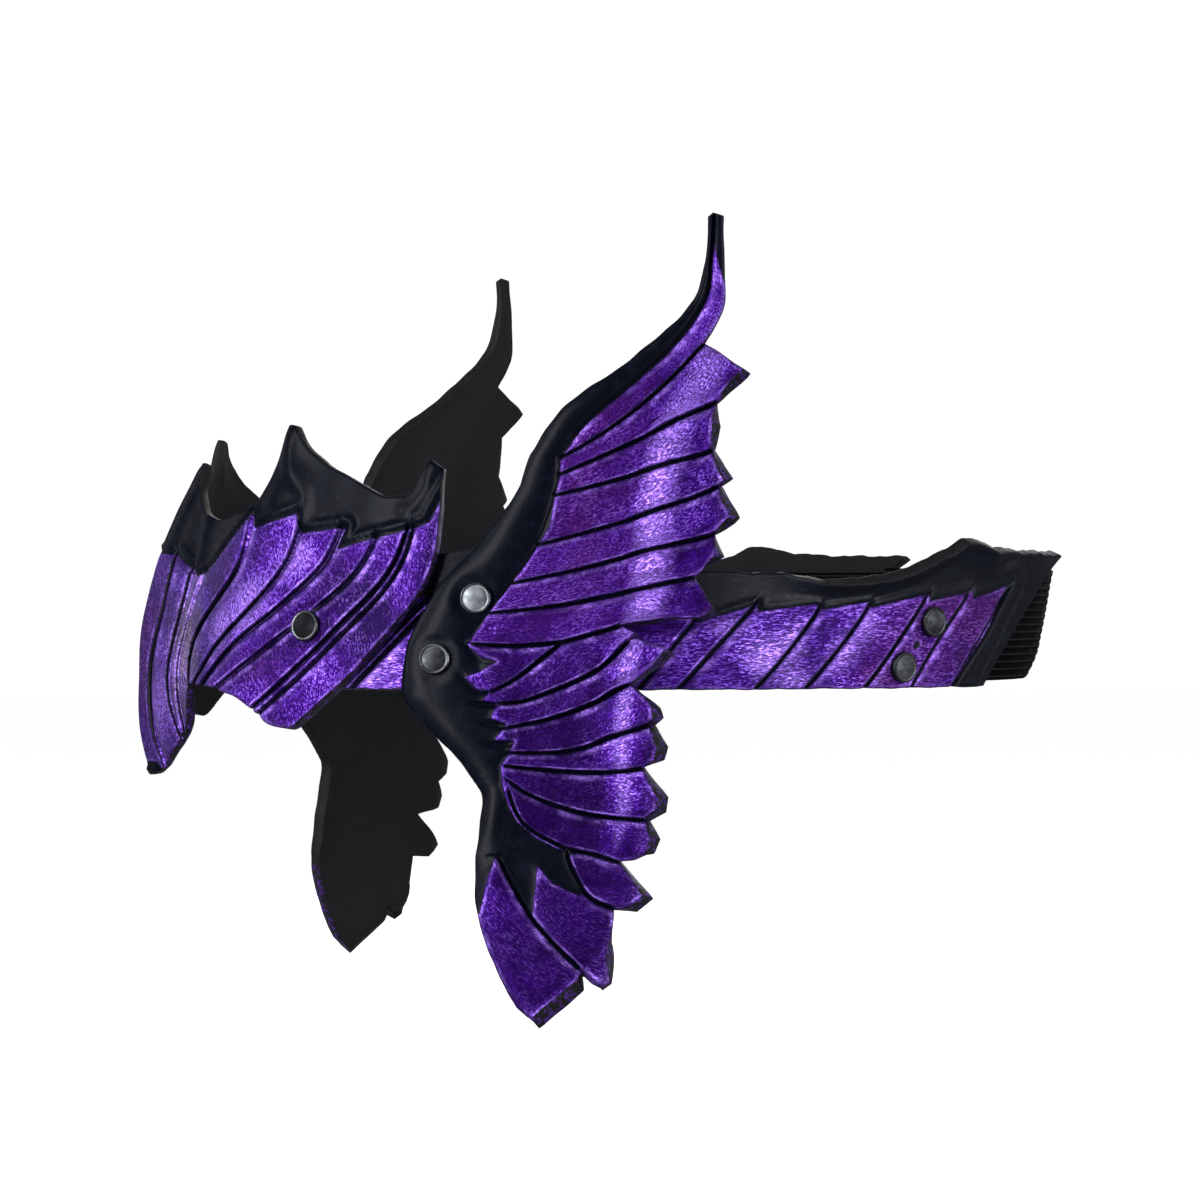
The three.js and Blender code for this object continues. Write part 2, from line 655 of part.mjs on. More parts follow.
function mirrored(geometry) {
  const other = geometryOf(solidOf(geometry));
  const position = other.attributes.position;
  for (let i = 0; i < position.count; i += 1) {
    position.setY(i, -position.getY(i));
  }
  other.setIndex(Array.from(other.index.array).reverse());
  return other;
}

const crown = new THREE.Group();

function add(name, geometry, look) {
  const mesh = new THREE.Mesh(geometry, new THREE.MeshStandardMaterial(look));
  mesh.name = name;
  mesh.geometry.computeVertexNormals();
  crown.add(mesh);
}

function addPair(name, geometry, look) {
  add(`${name}_left`, geometry, look);
  add(`${name}_right`, mirrored(geometry), look);
}

const outerDepth = outerLayer.inside + outerLayer.thick - bandLayer.inside;
const strapDepth = bandLayer.inside + bandLayer.thick - strapLayer.inside;
const browSeat = seatOn(platePlace, [browRivet.turn, browRivet.height], outerLayer.thick);
const wingSeats = Object.entries(wingRivets).map(([name, flatSeat]) => (
  { name, ...seatOn(wingPlace, flatSeat, outerLayer.thick) }
));
const strapSeats = Object.entries(strapRivets).map(([name, flatSeat]) => (
  { name, ...seatOn(bandPlace, flatSeat, bandLayer.thick) }
));

const browHole = holeGeometry(browSeat, outerDepth);
const wingHoles = wingSeats.map((seat) => holeGeometry(seat, outerDepth));
const strapHoles = strapSeats.map((seat) => holeGeometry(seat, strapDepth));

add('front_plate', drilled(plateGeometry(), [browHole, mirrored(browHole)]), looks.plate);
addPair('band', drilled(bandGeometry(), [browHole, ...wingHoles, ...strapHoles]), looks.band);
addPair('wing', drilled(wingGeometry(), wingHoles), looks.wing);
add('elastic_strap', drilled(strapGeometry(), [...strapHoles, ...strapHoles.map(mirrored)]), looks.strap);
addPair('rivet_brow', rivetGeometry(browSeat, outerDepth), looks.rivet);
wingSeats.forEach((seat) => {
  addPair(`rivet_wing_${seat.name}`, rivetGeometry(seat, outerDepth), looks.rivet);
});
strapSeats.forEach((seat) => {
  addPair(`rivet_strap_${seat.name}`, rivetGeometry(seat, strapDepth), looks.rivet);
});

export default crown;
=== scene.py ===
import math

import bpy
import numpy as np
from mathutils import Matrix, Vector


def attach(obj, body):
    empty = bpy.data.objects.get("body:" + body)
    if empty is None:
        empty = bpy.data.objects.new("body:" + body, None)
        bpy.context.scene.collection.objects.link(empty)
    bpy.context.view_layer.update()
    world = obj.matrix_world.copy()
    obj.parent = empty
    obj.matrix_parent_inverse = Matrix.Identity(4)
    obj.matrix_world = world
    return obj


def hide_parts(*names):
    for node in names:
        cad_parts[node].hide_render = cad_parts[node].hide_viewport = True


# A carved leather crown with feather wings. Sizes are millimetres until a mesh is made, and angles are
# degrees forward of the left side. +Z is up and -X is the front.
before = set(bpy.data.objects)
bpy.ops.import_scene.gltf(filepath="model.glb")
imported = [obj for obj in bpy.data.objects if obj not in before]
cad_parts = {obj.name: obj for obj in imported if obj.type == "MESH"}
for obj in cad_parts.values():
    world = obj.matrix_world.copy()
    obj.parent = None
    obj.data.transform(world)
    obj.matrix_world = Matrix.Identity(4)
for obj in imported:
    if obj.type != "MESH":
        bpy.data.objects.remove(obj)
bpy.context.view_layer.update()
metre = 0.001
tiny = 1e-12
hair = 1e-9
print("frame loaded:", len(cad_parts), "nodes")


# Things put into the scene
def inScene(name, data):
    made = bpy.data.objects.new(name, data)
    bpy.context.scene.collection.objects.link(made)
    return made


def aim(made, spot, towards):
    made.location = spot
    made.rotation_euler = towards.to_track_quat("-Z", "Y").to_euler()


def newPiece(name, points, faces):
    mesh = bpy.data.meshes.new(name)
    mesh.from_pydata(points, [], faces)
    mesh.polygons.foreach_set("use_smooth", np.ones(len(faces), bool))
    return inScene(name, mesh)


def putMark(mesh, name, domain, values):
    kind, key = ("FLOAT", "value") if values.ndim == 1 else ("FLOAT_VECTOR", "vector")
    layer = mesh.attributes.new(name, kind, domain)
    layer.data.foreach_set(key, values.astype(np.float32).ravel())


# Rows of a table, with each value under its name
def rowsOf(names, *rows):
    return [dict(zip(names.split(), row)) for row in rows]


# Photograph's view: level, from the left and a little to the front
viewpoint = {"turn": 16.5, "distance": 850, "across": -1.6, "height": 18, "lens": 114.75, "sensor": 36,
             "nearest": 0.01}


def makeCamera():
    turn = math.radians(viewpoint["turn"])
    back = Vector((-math.sin(turn), -math.cos(turn), 0))
    right = Vector((math.cos(turn), -math.sin(turn), 0))
    data = bpy.data.cameras.new("crownCamera")
    data.lens = viewpoint["lens"]
    data.sensor_width = viewpoint["sensor"]
    data.clip_start = viewpoint["nearest"]
    spot = back * viewpoint["distance"] + right * viewpoint["across"] + Vector((0, 0, viewpoint["height"]))
    camera = inScene("crownCamera", data)
    aim(camera, spot * metre, -back)
    bpy.context.scene.camera = camera


makeCamera()


# Curves and distances in a flat pattern
def smoothStep(x, low, high):
    t = np.clip((x - low) / (high - low), 0, 1)
    return t * t * (3 - 2 * t)


def arch(share):
    return 4 * share * (1 - share)


def bell(distance, half):
    return np.exp(-(distance / half) ** 2)


def unit(vectors):
    return vectors / np.maximum(np.linalg.norm(vectors, axis=-1, keepdims=True), tiny)


def curvePoints(points, shares):
    p = np.asarray(points, float)
    spans = len(p) - 1
    at = np.clip(np.asarray(shares, float) * spans, 0, spans - hair)
    i = at.astype(int)
    w = (at - i)[:, None]
    before, here, there, after = p[np.maximum(i - 1, 0)], p[i], p[i + 1], p[np.minimum(i + 2, spans)]
    leave, arrive = (there - before) / 2, (after - here) / 2
    cubic = 2 * here - 2 * there + leave + arrive
    square = 3 * there - 3 * here - 2 * leave - arrive
    return ((cubic * w + square) * w + leave) * w + here


def alongLine(line, shares):
    run = np.concatenate([[0], np.cumsum(np.linalg.norm(np.diff(line, axis=0), axis=1))])
    at = np.asarray(shares) * run[-1]
    return np.stack([np.interp(at, run, line[:, k]) for k in (0, 1)], -1)


def spaced(points, steps, samples=40):
    dense = curvePoints(points, np.linspace(0, 1, samples * (len(points) - 1) + 1))
    return alongLine(dense, np.linspace(0, 1, steps + 1))


# A broken line at given shares of its length, with every corner kept
def keptCorners(corners, shares):
    corners = np.asarray(corners, float)
    line = alongLine(corners, shares)
    run = np.cumsum(np.linalg.norm(np.diff(corners, axis=0), axis=1))
    for corner, share in zip(corners[1:-1], run[:-1] / run[-1]):
        line[1 + np.argmin(np.abs(shares[1:-1] - share))] = corner
    return line


def nearest(points, start, step, chunk=1500):
    size = (step ** 2).sum(1) + tiny
    found = []
    for k in range(0, len(points), chunk):
        gap = points[k:k + chunk, None] - start
        t = np.clip((gap * step).sum(-1) / size, 0, 1)
        found.append(np.sqrt(((gap - t[..., None] * step) ** 2).sum(-1).min(1)))
    return np.concatenate(found)


def distanceTo(points, line):
    return nearest(points.reshape(-1, 2), line[:-1], np.diff(line, axis=0)).reshape(points.shape[:-1])


# Distance inside the nearest of some outlines, negative outside them all
def insideDistance(points, outlines):
    best = np.full(points.shape[:-1], -np.inf)
    for outline in outlines:
        ring = np.vstack([outline, outline[:1]])
        inside = np.zeros(points.shape[:-1], bool)
        for a, b in zip(ring[:-1], ring[1:]):
            crosses = (a[1] > points[..., 1]) != (b[1] > points[..., 1])
            slope = (b[0] - a[0]) / (b[1] - a[1] + tiny)
            inside ^= crosses & (points[..., 0] < a[0] + slope * (points[..., 1] - a[1]))
        away = distanceTo(points, ring)
        best = np.maximum(best, np.where(inside, away, -away))
    return best


# A patch between four edges that meet at its corners; rows run from the upper edge to the lower
def stretched(upper, lower, root, end, shares):
    s = shares[:, None, None]
    t = np.linspace(0, 1, len(upper))[None, :, None]
    patch = (1 - s) * upper[None] + s * lower[None] + (1 - t) * root[:, None] + t * end[:, None]
    patch -= (1 - s) * ((1 - t) * root[0] + t * end[0]) + s * ((1 - t) * root[-1] + t * end[-1])
    patch[:, 0], patch[:, -1] = root, end
    patch[0], patch[-1] = upper, lower
    return patch


# Evens out the inside of a patch and keeps its edges
def relaxed(patch, shares, aspect=5):
    rows, columns = patch.shape[:2]
    up, down = np.diff(shares)[:-1], np.diff(shares)[1:]
    sideways = ((columns - 1) / aspect) ** 2
    ids = np.full((rows, columns), -1)
    ids[1:-1, 1:-1] = np.arange((rows - 2) * (columns - 2)).reshape(rows - 2, columns - 2)
    matrix = np.zeros((ids.max() + 1, ids.max() + 1))
    known = np.zeros((ids.max() + 1, 2))
    for i in range(1, rows - 1):
        a, b = up[i - 1], down[i - 1]
        before, after = 2 / (a * (a + b)), 2 / (b * (a + b))
        neighbours = ((-1, 0, before), (1, 0, after), (0, -1, sideways), (0, 1, sideways))
        for j in range(1, columns - 1):
            here = ids[i, j]
            for di, dj, weight in neighbours:
                matrix[here, here] += weight
                there = ids[i + di, j + dj]
                if there < 0:
                    known[here] += weight * patch[i + di, j + dj]
                else:
                    matrix[here, there] -= weight
    even = patch.copy()
    even[1:-1, 1:-1] = np.linalg.solve(matrix, known).reshape(rows - 2, columns - 2, 2)
    return even


# Smooth columns between given ones that never swing past them
def betweenColumns(columns, shares):
    columns = np.asarray(columns, float)
    step = np.diff(columns, axis=0)
    slope = np.zeros_like(columns)
    same = step[:-1] * step[1:] > 0
    mean = 2 * step[:-1] * step[1:] / np.where(same, step[:-1] + step[1:], 1)
    slope[1:-1] = np.where(same, mean, 0)
    slope[0], slope[-1] = step[0], step[-1]
    made = []
    for i in range(len(step)):
        for w in shares:
            a, b = columns[i], columns[i + 1]
            h = w * w * (3 - 2 * w)
            made.append(a + (b - a) * h + slope[i] * w * (1 - w) ** 2 - slope[i + 1] * w * w * (1 - w))
    return np.array(made + [columns[-1]])


# The oval opening and the layers round it
opening = {"halfLength": 97, "halfWidth": 75, "backLean": 0.2}
strapLayer = {"inside": 0.2, "thick": 1.5}
bandLayer = {"inside": 2, "thick": 2.5}
outerLayer = {"inside": 4.8, "thick": 3}


def around(turn, height, offset):
    angle = np.radians(turn)
    x = -(opening["halfLength"] + offset) * np.sin(angle) + opening["backLean"] * height
    y = -(opening["halfWidth"] + offset) * np.cos(angle)
    return np.stack(np.broadcast_arrays(x, y, height), -1)


turnStep = 0.5
turnTable = np.linspace(-180, 180, round(360 / turnStep) + 1)
turnSpeed = np.hypot(opening["halfLength"] * np.cos(np.radians(turnTable)),
                     opening["halfWidth"] * np.sin(np.radians(turnTable)))
turnLength = np.concatenate([[0], np.cumsum((turnSpeed[1:] + turnSpeed[:-1]) / 2 * np.radians(turnStep))])


# Turns and heights as lengths on the leather, so that distances are true
def onLeather(flat):
    flat = np.asarray(flat, float)
    return np.stack([np.interp(flat[..., 0], turnTable, turnLength), flat[..., 1]], -1)


# Carving: a steep wall on the upper side of each cut, a shoulder and a long bevel on the lower side
carve = {"depth": 0.95, "lip": 0.3, "wall": 0.42, "lipFade": 1.1, "bevel": 2.8, "shoulder": 0.85,
         "longShare": 0.42, "steepPower": 1.3, "longPower": 1.5}
# Slow waves of leather formed by hand: height, rate along and across, start
handWaves = ((0.5, 0.21, 0.13, 1), (0.3, -0.19, 0.37, 0), (0.2, 0.6, 0, 2))


def waves(rows, x, y):
    return sum(high * np.sin(a * x + b * y + start) for high, a, b, start in rows)


def belowCut(distance, depth, bevel):
    steep = np.clip(1 - distance / carve["shoulder"], 0, 1) ** carve["steepPower"]
    long = np.clip(1 - distance / bevel, 0, 1) ** carve["longPower"]
    return -depth * (steep + carve["longShare"] * (long - steep))


def aboveCut(distance, depth):
    wall = smoothStep(distance, 0, carve["wall"])
    lip = carve["lip"] * np.exp(-np.maximum(0, distance - carve["wall"]) / carve["lipFade"])
    return wall * lip - depth * (1 - wall)


def handFormed(flat):
    return waves(handWaves, flat[..., 0], flat[..., 1])


# A sheet of leather is made of patches of a flat pattern. Each corner of a face keeps its own marks:
# distance below and above a cut, inside the paint and from an edge, then tint, darkness (painted shade at
# the wing tips, and below nothing a painted highlight) and spot.
farMark = 9.0
unmarked = {"cutBelow": farMark, "cutAbove": farMark, "paint": farMark, "edge": farMark, "tint": 0, "dark": 0}
markNames = tuple(unmarked)
givenMarks = ("cutBelow", "cutAbove", "paint", "tint", "dark")
sheetKeys = ("flat", "metric", "spot", "rise", "lift", "thin", "marks", "quads")


def newSheet():
    return {key: [] for key in sheetKeys} | {"count": 0}


def addPatch(sheet, flat, metric, rise, lift, marks, spot, thin=1.0):
    shape = flat.shape[:2]
    ids = sheet["count"] + np.arange(shape[0] * shape[1]).reshape(shape)
    quads = np.stack([ids[:-1, :-1], ids[1:, :-1], ids[1:, 1:], ids[:-1, 1:]], -1)
    table = [np.broadcast_to(marks.get(name, unmarked[name]), shape) for name in markNames]
    single = [np.broadcast_to(values, shape).ravel() for values in (rise, lift, thin)]
    parts = (flat.reshape(-1, 2), metric.reshape(-1, 2), spot.reshape(-1, 3), *single,
             np.stack(table, -1).reshape(-1, len(markNames)), quads.reshape(-1, 4))
    for key, values in zip(sheetKeys, parts):
        sheet[key].append(values)
    sheet["count"] += ids.size


def faceNormals(points, quads):
    return np.cross(points[quads[:, 2]] - points[quads[:, 0]], points[quads[:, 3]] - points[quads[:, 1]])


def openEdges(quads):
    pairs = np.concatenate([quads[:, [k, (k + 1) % 4]] for k in range(4)])
    known = {(a, b) for a, b in pairs.tolist() if a != b}
    return np.array(sorted((a, b) for a, b in known if (b, a) not in known))


# Rounded rim between the outer and inner face, as shares of its radius: outwards, and in from each face
rim = {"radius": 0.38, "profile": ((0.62, 0.12), (1.0, 0.7)), "sunk": 0.5, "uneven": 0.07,
       "waves": ((1, 0.6, 0.8, 0), (0.5, 1.3, -0.9, 1))}
faceKinds = {"outer": 0, "rim": 1, "inner": 2}


def sheetArrays(sheet, surface, thick, clearings, clearReach):
    flat, metric, spot, rise, lift, thin, marks, quads = (np.concatenate(sheet[key]) for key in sheetKeys)
    _, first, shared = np.unique(np.round(flat, 3), axis=0, return_index=True, return_inverse=True)
    for seat in clearings:
        rise = rise * smoothStep(np.linalg.norm(metric - seat, axis=1), *clearReach)
    joined = shared.ravel()[quads]
    middle = surface(flat[first], lift[first])
    normal = np.zeros_like(middle)
    for k in range(4):
        np.add.at(normal, joined[:, k], faceNormals(middle, joined))
    normal = unit(normal)
    rims = openEdges(joined)
    start, stop = rims.T
    ends = metric[first]
    edge = nearest(metric, ends[start], ends[stop] - ends[start])
    marks[:, markNames.index("edge")] = np.minimum(edge, farMark)
    onRim = np.unique(rims)
    outward = np.zeros_like(middle)
    side = unit(np.cross(middle[stop] - middle[start], normal[start]))
    np.add.at(outward, start, side)
    np.add.at(outward, stop, side)
    outward = unit(outward)[onRim]
    uneven = rim["uneven"] * waves(rim["waves"], *ends[onRim].T)
    middle[onRim] += outward * uneven[:, None]
    half = thick / 2 * thin[first]
    height = half + rise[first]
    count, radius = len(middle), rim["radius"]
    points = [middle + normal * height[:, None], middle - normal * half[:, None]]
    levels = [(out, height[onRim] - drop * radius) for out, drop in rim["profile"]]
    levels += [(out, drop * radius - half[onRim]) for out, drop in reversed(rim["profile"])]
    rings = [np.arange(count)]
    for i, (out, level) in enumerate(levels):
        points.append(middle[onRim] + outward * (out - rim["sunk"]) * radius + normal[onRim] * level[:, None])
        ring = np.full(count, -1)
        ring[onRim] = 2 * count + i * len(onRim) + np.arange(len(onRim))
        rings.append(ring)
    rings.append(count + np.arange(count))
    faces = [joined, joined[:, ::-1] + count]
    corners = [quads, quads[:, ::-1]]
    kinds = [np.full(len(quads), faceKinds["outer"]), np.full(len(quads), faceKinds["inner"])]
    for upper, lower in zip(rings[:-1], rings[1:]):
        faces.append(np.stack([upper[stop], upper[start], lower[start], lower[stop]], -1))
        corners.append(np.stack([first[stop], first[start], first[start], first[stop]], -1))
        kinds.append(np.full(len(rims), faceKinds["rim"]))
    made = {"points": points, "faces": faces, "corners": corners, "kinds": kinds}
    return {key: np.concatenate(values) for key, values in made.items()} | {"marks": marks, "spot": spot}


# A mesh from those arrays; faces with corners that coincide become triangles
def leatherPiece(name, arrays, mirror, face):
    points = arrays["points"] * metre
    faces, corners = arrays["faces"], arrays["corners"]
    if mirror:
        points = points * (1, -1, 1)
        faces, corners = faces[:, ::-1], corners[:, ::-1]
    keep = np.stack([faces[:, k] != faces[:, (k + 1) % 4] for k in range(4)], -1)
    whole = keep.sum(1) > 2
    faces, corners, keep, kinds = faces[whole], corners[whole], keep[whole], arrays["kinds"][whole]
    piece = newPiece(name, points.tolist(), [f[k].tolist() for f, k in zip(faces, keep)])
    mesh = piece.data
    for i, mark in enumerate(markNames):
        putMark(mesh, mark, "CORNER", arrays["marks"][corners[keep], i])
    putMark(mesh, "spot", "CORNER", arrays["spot"][corners[keep]])
    mesh.polygons.foreach_set("material_index", kinds.astype(np.int32))
    mesh.update()
    for material in (face, edgeMaterial, fleshMaterial):
        mesh.materials.append(material)
    return piece


def settle(piece, slot, *nodes):
    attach(piece, "root")
    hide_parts(*nodes)
    print("made", piece.name, len(piece.data.polygons), "faces")


# Wings. The pattern is measured along the sheet, backwards and upwards from the rivets.
wing = {"turn": 32, "seatHeight": 12, "bendRadius": 140, "topSplay": 7, "lowSplay": 2, "splayReach": 80,
        "curlReach": 3.6, "curlPower": 2.0, "curlMost": 1.2, "rollHalf": 5.6, "rollWobble": 0.2,
        "rollWaves": ((1, 0, 0.62, 1), (0.6, 0, 1.4, 0)),
        "crown": 0.35, "rootDepth": 0.5, "formed": 0.22, "leadDrop": 0.8, "leadReach": 4.5,
        "leadFade": (-50, -34), "stripCrown": 0.35, "stripFade": (-33, -24), "paintStep": 0.45,
        "stepHalf": 0.5, "upperFrom": (7, 13), "tipPared": 0.45, "tipReach": 9, "clear": (3.6, 5.5)}
# At each height: how far back the feather tips reach and how far they curl outwards, where the feathers
# roll outwards and by how much, and how far in from the tips the painted shade reaches
tipCurve = rowsOf(
    "height back curl roll rise dark",
    (96, 60, 0, 56.8, 0, 1),
    (76, 60, 0.3, 54.5, 1.6, 1),
    (63.8, 57.3, 2.5, 50.5, 3.1, 3),
    (53, 52.4, 2.8, 43.4, 3.5, 4.5),
    (42.2, 53.4, 2.8, 40.8, 3.6, 5),
    (34.5, 54.8, 2.8, 39.8, 3.6, 5),
    (26.9, 52.4, 2.8, 39.2, 3.6, 5),
    (15.8, 50.6, 2.3, 37.8, 3.4, 4),
    (11, 46, 1.6, 35.8, 3.4, 1),
    (7.6, 41.9, 1.9, 34.8, 3.4, 1),
    (-4.4, 40, 2.5, 33.6, 3.5, 4),
    (-13, 40.7, 2.6, 33.2, 3.5, 4.5),
    (-23.1, 40.7, 2.6, 33.8, 3.2, 5),
    (-32, 38.6, 2.3, 31.8, 2.4, 4),
    (-38, 37.6, 2.3, 29.8, 0, 12),
    (-42, 37, 2, 28.8, 0, 15),
    (-54, 30.8, 2, 22.8, 0, 16),
    (-58.6, 25.4, 2.2, 18.8, 0, 12),
    (-67, 16, 2.2, 14.8, 0, 9),
)
wingSteps = {"along": 54, "wedge": 36, "leaf": 27, "strip": 20, "tip": 10}
rowShares = np.array([
    0, 0.02, 0.05, 0.09, 0.14, 0.2, 0.27, 0.34, 0.42, 0.5, 0.58, 0.66, 0.74, 0.81, 0.87, 0.915,
    0.945, 0.965, 0.98, 0.99, 1,
])

# Carved lines from the leading strip to the notch between two feather ends
wingLines = rowsOf(
    "lead root near far end",
    ((15.2, 47), (20.7, 46.5), (29, 51.5), (39, 59.2), (49.7, 69.6)),
    ((13.7, 43.2), (20.5, 43.2), (30, 47.4), (40, 52), (51.6, 57.6)),
    ((12.2, 39), (19.7, 39), (30, 41.6), (40, 44.6), (50.8, 48)),
    ((5, 29.2), (16.3, 29), (28, 32.2), (40, 36), (51.9, 40.8)),
    ((-2.2, 21.8), (11.3, 21.4), (24, 24), (38, 27.8), (51, 31.2)),
    ((-6.2, 15.6), (6.8, 15.3), (20, 16.8), (34, 19.6), (46.6, 22.6)),
    ((-9.4, 8.8), (3.2, 9), (12, 8.8), (21, 9.5), (32.6, 12.7)),
    ((-10.3, -0.4), (7.3, -0.6), (11.5, 1.8), (16.5, 5.6), (21, 9.5)),
    ((-9.1, -3.2), (8.6, -2.9), (15, -2), (27.6, 3.6), (34.3, 9.2)),
    ((-4.9, -7.7), (9.8, -7.8), (18.1, -6), (27, -2.8), (34.5, 1)),
    ((0.3, -12.5), (11, -12.6), (22, -12.4), (31, -9.6), (38.3, -6.9)),
    ((2.7, -15.4), (10, -15.2), (17, -16), (27, -16.5), (36.5, -15.4)),
    ((4.7, -18.4), (10.5, -18), (16, -21.4), (26, -24.8), (37.3, -25.8)),
    ((6.3, -22), (11, -20), (14, -26.6), (21.8, -31.6), (32, -33.8)),
)
featherEnds = [
    [(57.3, 63.8)], [(51.4, 53)], [(53.4, 42.2)], [(54.8, 34.5)], [(51.8, 26.9)],
    [(50.6, 15.8), (49.2, 14.6), (42.6, 14.3)], [], [(35.9, 11.2)], [(36.1, 9.8), (41.9, 7.6), (40.1, 5.4)],
    [(39.1, -3.3), (39.5, -5.4)], [(40.2, -11.2), (39.7, -13.7)], [(40.2, -21.2), (39.9, -24)],
    [(38.8, -29.4), (37.8, -32.4)],
]
wedgeFeather = 6  # ends in a point, and the feather below it goes on from there
evenedFeathers = (5, 12)  # their ends turn far along the feather
spotNumbers = {"leaf": 14, "quill": 18, "strip": 19, "field": 20}  # the feathers have 0 to 12
topTip = {
    "lead": [(15.2, 47), (22.1, 56.7), (34.4, 65.4), (47, 76.9), (50.4, 86.9), (50.6, 95.1)],
    "strip": [(20.7, 46.5), (26, 53.7), (41.6, 67.4), (49.6, 78), (51.1, 86.9), (51.4, 95.7)],
    "rear": [(49.7, 69.6), (52.8, 75), (53.5, 77), (53.7, 80), (53.6, 86), (53.3, 95.2)],
}
fork = {"strip": (8.8, -32.6), "lead": (5.2, -33.2)}
leafLines = [
    {"path": [(21.8, -31.6), (24.2, -37.5), (26.6, -41.2), (30.9, -43.5)],
     "corners": [(37.5, -41.1), (34.9, -43.6)]},
    {"path": [(8.8, -32.6), (14.6, -43.6), (19.6, -50), (24.8, -55.4)],
     "corners": [(30.4, -50), (30.2, -57.7), (28.7, -58.9)]},
    {"path": [(5.2, -33.2), (5.5, -44.3), (9.5, -56), (13.1, -62.8)],
     "corners": [(24.9, -58.6), (16.7, -65.9)]},
]
wingRivets = {"upper": (4.1, 18.2), "lower": (-3.9, 6)}

# Where the violet paint lies: the feathers, with black points between their roots, and the three leaves
wingPaint = [np.array(outline, float) for outline in (
    [(51.5, 92.5), (51.1, 86.5), (50.4, 80.5), (49.4, 77.4), (47.3, 74.8), (41.6, 67.4), (32, 59.1),
     (25.7, 53.5), (20.7, 46.7), (20.7, 43.1), (19.7, 39.1), (18.7, 32.8), (16.4, 28.8), (11.2, 21.5),
     (6.9, 15.8), (5, 12.6), (2.4, 8.8), (5, 6.4), (8.3, 5.6), (5, 3.6), (2, 2.4), (4.6, -0.3), (7.3, -0.5),
     (5.6, -2.3), (8.5, -3.1), (7.4, -5.9), (10.3, -7.1), (8.1, -10.2), (11.8, -10.4), (10.8, -13),
     (9.5, -15.1), (9.8, -18.9), (11, -23.3), (12.8, -26.4), (16.5, -29.6), (20.7, -31.8), (25, -32.6),
     (32, -33.9), (90, -34), (90, 79), (54.6, 79), (53.9, 81), (52.9, 84.5), (52.1, 88.5)],
    [(22.4, -33), (23.5, -36.8), (25.6, -41.2), (30.9, -43.5), (40, -47), (90, -47), (90, -34), (32, -33.9),
     (25, -32.6)],
    [(16.7, -34.9), (19.6, -38.4), (23.2, -40.3), (25.6, -41.2), (30.9, -43.5), (90, -45), (90, -60),
     (30, -60), (24.8, -55.4), (19.6, -50), (15.7, -45), (15.9, -42.5)],
    [(8.8, -32.8), (9.9, -35.9), (12.1, -40), (14.2, -43.7), (19.6, -50), (24.8, -55.4), (30, -60),
     (90, -60), (90, -90), (-30, -90), (-30, -46), (5.8, -44.7), (6.3, -43.2), (7.2, -38.8)],
)]
# Short cuts along the upper side of each black point
sepalCuts = [
    [(1.4, 9.6), (5, 6.4), (8.3, 5.6)], [(1.2, 2.8), (4.6, -0.3), (7.3, -0.5)],
    [(4, -2.9), (6.2, -3.2), (8.5, -3.1)], [(5.6, -6.5), (7.8, -7.2), (10.3, -7.1)],
    [(7, -11), (9, -11.2), (11.8, -10.4)],
]
sepal = {"depth": 0.5, "half": 0.45, "away": 0.1, "steps": 12}
sepalLines = [spaced(cut, sepal["steps"]) for cut in sepalCuts]

seatAngle = math.radians(wing["turn"])
wingNormal = unit(np.array([-math.sin(seatAngle) / (opening["halfLength"] + outerLayer["inside"]),
                            -math.cos(seatAngle) / (opening["halfWidth"] + outerLayer["inside"]), 0]))
wingBack = np.array([-wingNormal[1], wingNormal[0], 0])
wingSeat = around(wing["turn"], wing["seatHeight"], outerLayer["inside"])
leadPoints = [line["lead"] for line in wingLines] + [fork["lead"]]
rootPoints = [line["root"] for line in wingLines] + [fork["strip"]]
leadSteps = {"tip": 40, "strip": 80, "leaf": 30}
leadEdge = np.vstack([spaced(topTip["lead"], leadSteps["tip"])[::-1], spaced(leadPoints, leadSteps["strip"]),
                      spaced(leafLines[2]["path"][:3], leadSteps["leaf"])])


def tipRow(flat, *keys):
    rows = tipCurve[::-1]
    heights = [row["height"] for row in rows]
    return [np.interp(flat[..., 1], heights, [row[key] for row in rows]) for key in keys]


def upperShare(flat):
    return smoothStep(flat[..., 1], *wing["upperFrom"])


def wingLift(flat):
    tip, curl, roll, rise = tipRow(flat, "back", "curl", "roll", "rise")
    p, q = flat[..., 0], flat[..., 1]
    end = np.clip(1 - (tip - p) / wing["curlReach"], 0, wing["curlMost"]) ** wing["curlPower"]
    wobble = wing["rollWobble"] * waves(wing["rollWaves"], p, q)
    rolled = smoothStep(p - roll - wobble, -wing["rollHalf"], wing["rollHalf"])
    lead = np.clip(1 - distanceTo(flat, leadEdge) / wing["leadReach"], 0, 1) ** 2
    lead = lead * smoothStep(q, *wing["leadFade"])
    return curl * end + rise * rolled - wing["leadDrop"] * lead + wing["formed"] * handFormed(flat)


# Darker colour: a little on the upper feathers and much on the lower ones; painted shade at the tips,
# where the curled ends turn away from the light; and on the rolls a painted highlight instead
wingShade = {"upper": 0.22, "lower": 0.72, "lowerTo": (-2, 16), "leaves": 0.75, "leavesTo": (-40, -32),
             "ends": 0.95, "endStart": 0.3, "fullRoll": 3.5, "rollWide": 4, "narrower": 1.2, "gleam": 0.7,
             "duller": 0.1}


